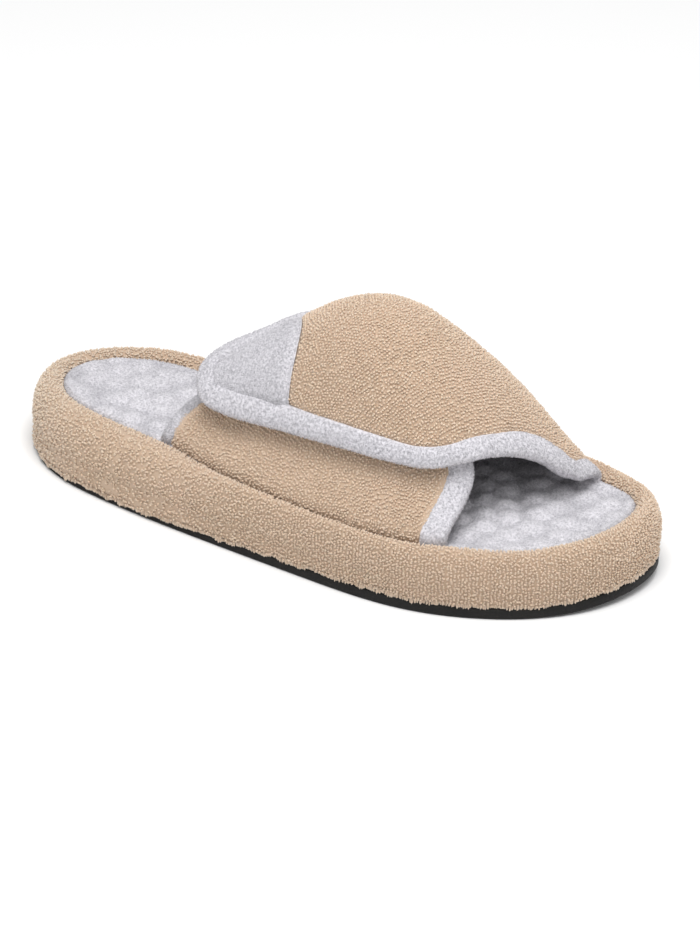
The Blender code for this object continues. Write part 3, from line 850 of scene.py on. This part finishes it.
def velour_material(name, root, low, high, sheen):
    """Short-pile grey cloth. root is the darker colour between the tufts and at their roots, painted shade;
    low to high the range of the tips.
    """
    made, tree, shader = new_material(name, 0.95, sheen, (0.95, 0.94, 1.0))
    tip, tuft_tone_and_valley_shade = pile_channels(tree)
    specks = ranged(tree, noise_node(tree, 1000.0, 3.0, 0.65).outputs["Fac"], 0.40, 0.56)
    # On the insole the tone carries painted shade, darker in the quilting's valleys; elsewhere it differs
    # at random.
    tone = mix_colours(tree, ranged(tree, tuft_tone_and_valley_shade, 0.0, 0.8), low, high)
    colour = mix_colours(tree, specks, mix_colours(tree, tuft_tone_and_valley_shade, root, low), tone)
    # Painted shade: darker towards the tufts' roots and on the cloth between them.
    colour = mix_colours(tree, ranged(tree, tip, 0.0, 0.7, 0.35, 1.0), root, colour)
    tree.links.new(colour, shader.inputs["Base Color"])
    soften(shader, 0.2, (1.0, 0.95, 1.0))
    add_bump(tree, shader, noise_node(tree, 900.0, 2.0).outputs["Fac"], 0.0006, 0.5)
    add_bump(tree, shader, noise_node(tree, 3200.0, 3.0, 0.7).outputs["Fac"], 0.0003, 0.6)
    return made


def rubber_material():
    made, tree, shader = new_material("outsole_rubber", 0.62)
    colour = mix_colours(
        tree,
        ranged(tree, noise_node(tree, 90.0, 5.0).outputs["Fac"], 0.3, 0.7),
        (0.005, 0.0048, 0.0045),
        (0.010, 0.0095, 0.009),
    )
    tree.links.new(colour, shader.inputs["Base Color"])
    grain = noise_node(tree, 1400.0, 3.0)
    tree.links.new(ranged(tree, grain.outputs["Fac"], 0.3, 0.7, 0.5, 0.75), shader.inputs["Roughness"])
    add_bump(tree, shader, grain.outputs["Fac"], 0.0003, 0.5)
    return made


# Terry. The first colour is painted shade at the loops' roots and between them; then the tips' range, the
# soft patches and the brushed heel.
TERRY = pile_material(
    "beige_terry",
    (0.45, 0.32, 0.225),
    (0.60, 0.45, 0.33),
    (0.79, 0.63, 0.485),
    (0.71, 0.55, 0.42),
    (0.73, 0.61, 0.49),
)
# Grey velour. Its first colour is painted shade between the tufts.
GREY = velour_material(
    "grey_velour", (0.38, 0.37, 0.40), (0.55, 0.54, 0.57), (0.76, 0.74, 0.78), 0.3
)
# Painted shade: the lining is a near-black grey, far darker than the grey velour, standing for the deep
# shadow inside the upper; its first colour is also painted shade between the tufts.
SHADED_LINING = velour_material(
    "lining_painted_shade", (0.12, 0.115, 0.12), (0.17, 0.165, 0.175), (0.24, 0.235, 0.25), 0.1
)
RUBBER = rubber_material()


# Pieces

def settle(piece, node):
    """Puts a piece on the body, in the place of a solid."""
    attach(piece, BODY)
    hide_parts(node)
    return piece


def add_tufts(name, tufts, material, node):
    """One piece from the points, faces and values of many tufts."""
    points, faces, pile = tufts
    settle(build(name, points, faces, material, pile=pile), node)


def platform_cover():
    """The platform's cloth cover and its loops, which stand less evenly towards the heel."""
    rng = np.random.default_rng(11)
    columns, rows = 480, 50
    along = np.linspace(0.0, RING_LENGTH, columns, endpoint=False)
    grid_share, grid_along = np.meshgrid(np.linspace(0.0, 1.0, rows), along, indexing="ij")
    points, out = platform_frame(grid_along, grid_share)[:2]
    base = (points + out * (lumps(points, 3) - BASE_SUNK)[..., None]).reshape(-1, 3)
    piece = build("platform_cover", base, tube_faces(rows, columns), TERRY, pile=plain_pile(base, 0.25))
    settle(piece, "midsole")
    across = int(RING_LENGTH / LOOP_COLUMN)
    down = int(SECTION_LENGTHS.mean() / LOOP_ROW)
    i, j = np.meshgrid(np.arange(across), np.arange(down), indexing="ij")
    i, j = i.ravel().astype(float), j.ravel().astype(float)
    x = ring_point(i * RING_LENGTH / across, 0.0)[:, 0]
    loose = 0.14 + 0.34 * smooth_step((30.0 - x) / 90.0)
    j += rng.normal(0.0, 1.0, len(j)) * (0.14 + loose) + 0.5 * (i % 2)
    i += rng.normal(0.0, 1.0, len(i)) * loose
    along, share = i * RING_LENGTH / across, (j + 0.4) / down
    length = section_place(along, share)[1]
    keep = (share > 0.005) & (share * length < length - 3.2)
    along, share = along[keep], share[keep]
    centres, out, up = platform_frame(along, share)
    centres = centres + out * (lumps(centres, 3) - BASE_SUNK)[:, None]
    outer = share < 0.6
    for name, chosen in (("platform_loops", outer), ("rim_loops", ~outer)):
        places = (centres[chosen], out[chosen], up[chosen])
        loops = pile_points(*places, rng, PLATFORM_LOOP, PLATFORM_LOOP_HEIGHT, lean=0.45, wild=0.8)
        add_tufts(name, loops, TERRY, "midsole")


def fringe():
    """Ragged tufts of cloth that hang over the outsole's upper edge."""
    rng = np.random.default_rng(17)
    count = int(RING_LENGTH / FRINGE_STEP)
    along = (np.arange(count) + rng.uniform(-0.4, 0.4, count)) * RING_LENGTH / count
    centres, out, up = platform_frame(along, 0.02)
    places = (centres - out * 0.35, unit(-up + out * 0.2), out)
    clump = 0.5 + noise(joined(along), 3.2, 19)
    reach = 1.0 + 0.8 * np.clip(clump, 0.0, 1.0)
    tufts = pile_points(*places, rng, FRINGE_TUFT, reach[:, None], lean=0.1, wild=0.9)
    add_tufts("lower_fringe", tufts, TERRY, "midsole")


# The outsole's section, from under its middle round its edge. Columns: inset, height.
OUTSOLE_SECTION = (
    (14.0, 0.0),
    (1.3, 0.0),
    (0.7, 0.25),
    (0.4, 0.9),
    (0.4, 2.6),
    (0.45, 3.7),
    (0.8, 4.3),
    (8.4, 4.4),
)


def outsole_plate():
    """The outsole with rounded edges, tucked in under the hanging cover."""
    columns = 420
    along = np.linspace(0.0, RING_LENGTH, columns, endpoint=False)
    points = []
    for inset, height in OUTSOLE_SECTION:
        hang = cover_drop(ring_point(along, inset)[:, 0])
        flat = ring_point(along, inset + 0.45 * hang * smooth_step((height - 0.9) / 1.2))
        points.append(joined(flat[:, 0], flat[:, 1], height + toe_lift(flat[:, 0])))
    faces = grid_faces(len(OUTSOLE_SECTION), columns, wrap=True)
    ladder = [(k, k + 1, columns - k - 1, columns - k) for k in range(1, columns // 2 - 1)]
    ladder += [(0, 1, columns - 1), (columns // 2 - 1, columns // 2, columns // 2 + 1)]
    last = (len(OUTSOLE_SECTION) - 1) * columns
    faces += [face[::-1] for face in ladder] + [tuple(last + i for i in face) for face in ladder]
    settle(build("outsole_plate", np.concatenate(points), faces, RUBBER), "outsole")


def puff_height(x, y):
    """The insole's quilting: soft uneven puffs in staggered rows, with shallow valleys between them."""
    row = np.round(y / PUFF_ROW_PITCH)
    gaps = []
    for dr, dc in np.ndindex(3, 3):
        this_row = row + dr - 1
        shift = np.where(this_row % 2 == 0, 0.0, 0.5)
        column = np.round(x / PUFF_PITCH - shift) + dc - 1
        cell = joined(column, this_row).astype(np.int64)
        cx = (column + shift + 0.55 * (lattice_value(cell, 5) - 0.5)) * PUFF_PITCH
        cy = (this_row + 0.5 * (lattice_value(cell, 6) - 0.5)) * PUFF_ROW_PITCH
        gaps.append(np.hypot(x - cx, y - cy))
    gap = np.min(np.stack(gaps, axis=0), axis=0) / PUFF_PITCH
    depth = 0.75 + 0.35 * np.clip(1.6 * noise(joined(x, y), 14.0, 35), -1.0, 1.0)
    return depth * (1.0 - smooth_step(gap / 0.68)) ** 0.7


def insole_cushion():
    """The quilted insole, with a rounded edge, and its nap."""
    half_count, columns = 330, 84
    along = np.linspace(0.0, RING_LENGTH, 2 * half_count, endpoint=False)
    widths = smooth_table(RIM_WIDTHS, along / RING_LENGTH)
    edge = ring_point(along, widths + 0.1)
    low, high = edge[1:half_count], edge[:half_count:-1]
    share = 0.5 - 0.5 * np.cos(np.linspace(0.0, math.pi, columns))
    share = 0.4 * share + 0.6 * np.linspace(0.0, 1.0, columns)
    flat = low[:, None, :] + (high - low)[:, None, :] * share[None, :, None]
    x, y = flat[..., 0], flat[..., 1]
    gap = nearest(flat.reshape(-1, 2), edge).reshape(x.shape)
    over_edge = 1.0 - np.clip(gap / INSOLE_SHOULDER, 0.0, 1.0)
    shoulder = np.sqrt(np.clip(1.0 - over_edge**2, 0.0, 1.0))
    spread = joined(x, y)
    puff = puff_height(x, y)
    relief = PUFF_RISE * puff - PUFF_SUNK + 0.5 * noise(spread, 24.0, 31)
    relief += 0.15 * noise(spread, 5.0, 32) + 0.12 * noise(spread, 1.5, 33)
    level = smooth_table(RIM_HEIGHTS, x) - INSOLE_BELOW_RIM + toe_lift(x)
    height = level - INSOLE_SHOULDER * (1.0 - shoulder) + relief * smooth_step(gap / 5.0)
    top = joined(x, y, height)
    points, faces = closed_sheet(top, joined(x, y, INSOLE_BOTTOM + toe_lift(x)))
    faces = [face[::-1] for face in faces]
    pile = plain_pile(points, 0.6, 0.7)
    # Painted shade: the tone is low in the quilting's valleys, which the grey velour darkens.
    shade = np.clip(0.15 + 1.7 * puff, 0.0, 1.0)
    pile[: shade.size, 1] = shade.ravel()
    settle(build("insole_cushion", points, faces, GREY, pile=pile), "insole")
    normals = grid_normals(top)
    normals *= np.sign(normals[..., 2:])
    nap = nap_on_grid(top, normals, (1.25, 1.3), np.random.default_rng(43), INSOLE_NAP, 0.55, shade)
    add_tufts("insole_nap", nap, GREY, "insole")


def flap_grid(rear, front, columns):
    """Places between two edge curves of equal length, row by row."""
    share = np.linspace(0.0, 1.0, columns)[None, :, None]
    return rear[:, None, :] * (1.0 - share) + front[:, None, :] * share


def top_flap_grid(rows, columns):
    rear = edge_curve(TOP_FLAP_EDGE[: TAB_TIP_ROW + 1], rows + 1, TIP_CROWDING)
    front = edge_curve(TOP_FLAP_EDGE[: TAB_TIP_ROW - 1 : -1], rows + 1, TIP_CROWDING)
    grid = flap_grid(moved_in(rear[:rows], PANEL_IN), moved_in(front[:rows], -PANEL_IN), columns)
    foot = grid[:1].copy()
    foot[..., 1] = HIDDEN_FOOT + 2.0
    return np.concatenate([foot, grid])


def under_flap_grid(rows, columns):
    rear = moved_in(under_flap_edge(1, rows), -PANEL_IN)
    front = moved_in(under_flap_edge(2, rows), PANEL_IN + UNDER_FRONT_EDGE_IN)
    return flap_grid(rear, front, columns)[::-1]


def seam_line(edge, widths):
    """The line where a panel meets its binding, as places and as points."""
    line = moved_in(edge, widths)
    return line, arch_point(*line.T)


TOP_EDGE = top_flap_edge(520)
TOP_SEAM, TOP_SEAM_POINTS = seam_line(TOP_EDGE, top_binding_width(TOP_EDGE))
UNDER_FRONT_SEAM, UNDER_FRONT_POINTS = seam_line(under_flap_edge(2, 160), UNDER_FRONT_BINDING_WIDTH)
UNDER_REAR_SEAM, UNDER_REAR_POINTS = seam_line(under_flap_edge(1, 160)[::-1], UNDER_REAR_BINDING_WIDTH)
TAB_SEAM_ANGLES = np.linspace(TAB_SEAM[0][0], TAB_SEAM[-1][0], 120)
TAB_SEAM_POINTS = arch_point(smooth_table(TAB_SEAM, TAB_SEAM_ANGLES), TAB_SEAM_ANGLES)


def flap_lattice(turn, loose, rng, span_x, span_angle):
    """Places of loops in rows that run at a turn from the X axis over the arch."""
    cells = np.arange(-260, 260)
    i, j = np.meshgrid(cells, cells, indexing="ij")
    i, j = i.ravel() * FLAP_LOOP_PITCH, j.ravel() * FLAP_LOOP_SPACING
    i = i + 0.5 * FLAP_LOOP_PITCH * (np.round(j / FLAP_LOOP_SPACING) % 2)
    i = i + rng.normal(0.0, loose, len(i))
    j = j + rng.normal(0.0, loose, len(j))
    c, s = heading(turn)
    run_x, run_up = i * c - j * s, i * s + j * c
    crown_x = np.linspace(*span_x, 400)
    crown_run = along_line(np.stack([crown_x, 0.72 * smooth_table(CROWN, crown_x)], axis=1))
    crown_run -= crown_run.mean()
    held = (run_x > crown_run[0]) & (run_x < crown_run[-1])
    run_x, run_up = run_x[held], run_up[held]
    x = np.interp(run_x, crown_run, crown_x)
    angles = np.linspace(*span_angle, 241)
    stations = np.linspace(*span_x, 60)
    tables = []
    for station in stations:
        lengths = along_line(arch_point(station, angles))
        lengths -= np.interp(90.0, angles, lengths)
        tables.append(lengths)
    tables = np.array(tables)
    held = (run_up > tables[:, 0].min()) & (run_up < tables[:, -1].max())
    x, run_up = x[held], run_up[held]
    slot_at = (x - stations[0]) / (stations[1] - stations[0])
    first = np.clip(slot_at.astype(int), 0, len(stations) - 2)
    share = slot_at - first
    angle = np.zeros(len(x))
    for k in range(len(stations) - 1):
        chosen = first == k
        lower = np.interp(run_up[chosen], tables[k], angles)
        upper = np.interp(run_up[chosen], tables[k + 1], angles)
        angle[chosen] = lower * (1 - share[chosen]) + upper * share[chosen]
    held = (angle > span_angle[0] + 0.01) & (angle < span_angle[1] - 0.01)
    return np.stack([x[held], angle[held]], axis=1)


def loops_on_flap(name, places, depth, turn, seams, seed):
    """Loops of terry at places on a flap, smaller and sunk towards its two seams."""
    rng = np.random.default_rng(seed)
    points = arch_point(*places.T)
    gap = np.minimum(nearest(points, seams[0]), nearest(points, seams[1]))
    places, gap = places[gap > SEAM_CLEAR], gap[gap > SEAM_CLEAR]
    x, angle = places.T
    _, out, along, across = arch_frame(x, angle)
    centres = flap_point(x, angle, depth(x, angle))
    c, s = heading(turn)
    stroke = unit(unit(along) * c + unit(across) * s)
    near = np.exp(-((gap / 1.8) ** 2))
    centres = centres + out * (lumps(centres, 7) - BASE_SUNK - 0.55 * near)[:, None]
    tall = (1.0 - 0.4 * near)[:, None]
    loops = pile_points(centres, out, stroke, rng, FLAP_LOOP, tall, lean=0.45, wild=0.6)
    add_tufts(name, loops, TERRY, "upper")


def flap_panel(name, grid, depth, thickness, material, slot_name, sunk, seams=()):
    """A panel of cloth over a flap's grid of places, as a closed wall."""
    x, angle = grid[..., 0], grid[..., 1]
    top = depth(x, angle) + sunk
    outer = flap_point(x, angle, top)
    out = arch_frame(x, angle)[1]
    swell = lumps(outer, 7)
    for line in seams:
        gap = nearest(outer.reshape(-1, 3), line).reshape(x.shape)
        swell = swell - 0.7 * np.exp(-((gap / 1.6) ** 2))
    outer = outer + out * swell[..., None]
    inner = flap_point(x, angle, top + thickness)
    points, faces = closed_sheet(outer, inner)
    piece = build(name, points, faces, material, pile=plain_pile(points, 0.25))
    return settle(piece, "upper")


def both_layers(name, grid, lining_grid, depth, seams):
    """A flap's terry panel and its lining."""
    terry = (CLOTH_THICKNESS, TERRY, "terry", BASE_SUNK)
    lining = (LINING_THICKNESS, SHADED_LINING, "velour", LINING_SUNK)
    flap_panel(name + "_terry", grid, depth, *terry, seams)
    flap_panel(name + "_lining", lining_grid, depth, *lining)


def top_flap():
    seams = (TOP_SEAM_POINTS, TAB_SEAM_POINTS)
    both_layers("top_flap", top_flap_grid(150, 110), top_flap_grid(80, 50), top_depth, seams)
    rng = np.random.default_rng(23)
    places = flap_lattice(TOP_LOOP_TURN, 0.2, rng, (-50.0, 104.0), (0.0, 182.0))
    places = places[inside(places, TOP_SEAM)]
    seam_x = smooth_table(TAB_SEAM, places[:, 1])
    places = places[(places[:, 1] > 96.0) | (places[:, 0] > seam_x)]
    loops_on_flap("top_flap_loops", places, top_depth, TOP_LOOP_TURN, seams, 29)


def under_flap():
    seams = (UNDER_FRONT_POINTS, UNDER_REAR_POINTS)
    grid = under_flap_grid(60, 110)
    both_layers("under_flap", grid, grid, under_depth, seams)
    rng = np.random.default_rng(37)
    places = flap_lattice(UNDER_LOOP_TURN, 0.26, rng, (-60.0, 80.0), (-4.0, 180.0))
    places = places[inside(places, np.concatenate([UNDER_FRONT_SEAM, UNDER_REAR_SEAM]))]
    places = places[~inside(places, moved_in(TOP_EDGE, 7.0))]
    loops_on_flap("under_flap_loops", places, under_depth, UNDER_LOOP_TURN, seams, 41)


# A binding's section. Columns: share of its width in from the edge, share of its full thickness.
BINDING_SECTION = (
    (1.06, 0.50),
    (1.02, 0.58),
    (0.95, 0.72),
    (0.86, 0.86),
    (0.74, 0.96),
    (0.60, 1.02),
    (0.46, 1.05),
    (0.32, 1.05),
    (0.20, 1.04),
    (0.10, 1.02),
    (0.0, 1.0),
)


def binding(name, edge, widths, depth, half_thickness, node, seed):
    """A padded tape folded round a flap's edge, full in the middle and drawn down at the seam."""
    middle = depth(*edge.T) + WALL / 2
    centre = flap_point(*edge.T, middle)
    out = unit(flap_point(*edge.T, middle - 1.0) - centre)
    away = flap_point(*moved_in(edge, -0.5).T, middle) - centre
    away = unit(away - out * np.sum(away * out, axis=1)[:, None])
    slim = 1.0 - 0.35 * smooth_step((np.abs(edge[:, 1] - 90.0) - 35.0) / 45.0)
    half = np.maximum(half_thickness * slim, SLIMMEST_TAPE_HALF)
    lines = [moved_in(edge, widths * share) for share, _ in BINDING_SECTION]
    leaves = []
    for sign in (-1.0, 1.0):
        leaf = []
        for line, (_, full) in zip(lines, BINDING_SECTION):
            leaf.append(flap_point(*line.T, depth(*line.T) + WALL / 2 + sign * half * full))
        leaves.append(leaf)
    fold = []
    for degrees in np.linspace(14.0, 166.0, FOLD_COUNT):
        c, s = heading(degrees)
        fold.append(centre + (out * c + away * s) * half[:, None])
    rings = np.stack(leaves[0] + fold + leaves[1][::-1], axis=1)
    count, around = rings.shape[:2]
    normals = grid_normals(rings)
    grain = joined(along_line(centre)[:, None] / 0.9, np.arange(around) * 0.3)
    relief = 0.08 * noise(grain, 1.0, seed)
    relief += 0.08 * noise(rings, 1.4, seed + 1) + 0.25 * noise(rings, 10.0, seed + 2)
    rings = rings + normals * relief[..., None]
    points = rings.reshape(-1, 3)
    pile = plain_pile(points, 0.6, 0.7)
    settle(build(name, points, tube_faces(count, around), GREY, pile=pile), node)
    outside = slice(1, len(BINDING_SECTION) + FOLD_COUNT)
    rng = np.random.default_rng(seed)
    nap = nap_on_grid(rings[:, outside], normals[:, outside], (1.5, 1.3), rng, TAPE_NAP, 0.5)
    add_tufts(name + "_nap", nap, GREY, node)


def bindings():
    top = top_flap_edge(760)
    front = moved_in(under_flap_edge(2, 200), UNDER_FRONT_EDGE_IN)
    front_width = UNDER_FRONT_BINDING_WIDTH - UNDER_FRONT_EDGE_IN
    rear = under_flap_edge(1, 200)[::-1]
    for name, edge, widths, depth, half_thickness, seed in (
        ("top_flap", top, top_binding_width(top), top_depth, TOP_TAPE_HALF, 51),
        ("under_flap_front", front, front_width, under_depth, UNDER_FRONT_TAPE_HALF, 61),
        ("under_flap_rear", rear, UNDER_REAR_BINDING_WIDTH, under_depth, UNDER_REAR_TAPE_HALF, 71),
    ):
        binding(name + "_tape", edge, widths, depth, half_thickness, name + "_binding", seed)


def tab_panel():
    """The bare grey facing on the tab, inside the binding's seam."""
    line = moved_in(TOP_EDGE, top_binding_width(TOP_EDGE) - 0.3)
    line = line[line[:, 1] < TAB_SEAM[-1][0]]
    held = line[line[:, 0] < smooth_table(TAB_SEAM, line[:, 1])]
    low, high = held[:, 1].min(), held[:, 1].max()
    rows, columns = 110, 120
    grid = np.zeros((rows, columns, 2))
    for k, angle in enumerate(np.linspace(high - 0.2, low + 0.2, rows)):
        a, b = line[:-1], line[1:]
        crossing = (a[:, 1] - angle) * (b[:, 1] - angle) <= 0.0
        a, b = a[crossing], b[crossing]
        at = a[:, 0] + (b[:, 0] - a[:, 0]) * (angle - a[:, 1]) / (b[:, 1] - a[:, 1] + 1e-9)
        grid[k, :, 0] = np.linspace(at.min(), float(smooth_table(TAB_SEAM, angle)) + 0.4, columns)
        grid[k, :, 1] = angle
    x, angle = grid[..., 0], grid[..., 1]
    surface = flap_point(x, angle, -0.75)
    out = arch_frame(x, angle)[1]
    flat = surface.reshape(-1, 3)
    to_edge = nearest(flat, TOP_SEAM_POINTS).reshape(x.shape)
    to_seam = nearest(flat, TAB_SEAM_POINTS).reshape(x.shape)
    swell = 0.6 * lumps(surface, 81) + 0.07 * noise(surface, 1.2, 83)
    swell += 0.3 * smooth_step(to_edge / 4.0) * smooth_step(to_seam / 4.0)
    swell -= 0.8 * np.exp(-((to_edge / 0.8) ** 2)) + 1.3 * np.exp(-((to_seam / 2.2) ** 2))
    outer = surface + out * swell[..., None]
    points, faces = closed_sheet(outer, flap_point(x, angle, 0.6))
    piece = build("tab_panel", points, faces, GREY, pile=plain_pile(points, 0.6, 0.7))
    settle(piece, "tab_facing")
    nap = nap_on_grid(outer, out, (1.6, 2.0), np.random.default_rng(89), TAPE_NAP, 0.4)
    add_tufts("tab_nap", nap, GREY, "tab_facing")


# Camera, light and floor

def camera():
    a, e, r = (math.radians(v) for v in (CAMERA_AZIMUTH, CAMERA_ELEVATION, CAMERA_ROLL))
    back = Vector((math.sin(a) * math.cos(e), -math.cos(a) * math.cos(e), math.sin(e)))
    level = (-back).cross(Vector((0.0, 0.0, 1.0))).normalized()
    upright = level.cross(-back)
    right = level * math.cos(r) + upright * math.sin(r)
    up = upright * math.cos(r) - level * math.sin(r)
    distance = CAMERA_DISTANCE * METRES_PER_MM
    place = back * distance
    aim = (up * ORIGIN_DOWN_PX - right * ORIGIN_RIGHT_PX) * distance / FOCAL_LENGTH_PX
    back = (place - aim).normalized()
    right = (right - back * right.dot(back)).normalized()
    up = back.cross(right)
    made = new_object("camera", bpy.data.cameras.new("camera"))
    made.data.sensor_width = SENSOR_MM
    made.data.lens = FOCAL_LENGTH_PX * SENSOR_MM / IMAGE_HEIGHT_PX
    made.matrix_world = Matrix.Translation(place) @ Matrix((right, up, back)).transposed().to_4x4()
    bpy.context.scene.camera = made


def area_light(name, place, size, watts):
    light = bpy.data.lights.new(name, "AREA")
    light.energy, light.size = watts, size
    made = new_object(name, light)
    made.location = place
    made.rotation_euler = (-Vector(place)).to_track_quat("-Z", "Y").to_euler()


def studio():
    world = bpy.data.worlds.new("studio")
    bpy.context.scene.world = world
    world.use_nodes = True
    background = world.node_tree.nodes["Background"]
    set_inputs(background, {"Color": (1.0, 1.0, 1.0, 1.0), "Strength": WORLD_STRENGTH})
    for light in LIGHTS:
        area_light(*light)
    made, _, shader = new_material("pale_floor", 0.9)
    set_inputs(shader, {"Base Color": (*[FLOOR_ALBEDO] * 3, 1.0), "Specular IOR Level": 0.0})
    corners = [(x * FLOOR_HALF, y * FLOOR_HALF, 0.0) for x, y in ((-1, -1), (1, -1), (1, 1), (-1, 1))]
    floor = build("floor", corners, [(0, 1, 2, 3)], made, smooth=False)
    bpy.context.scene.view_settings.view_transform = "Standard"


camera()
studio()
outsole_plate()
platform_cover()
fringe()
insole_cushion()
top_flap()
under_flap()
bindings()
tab_panel()

bpy.context.view_layer.update()
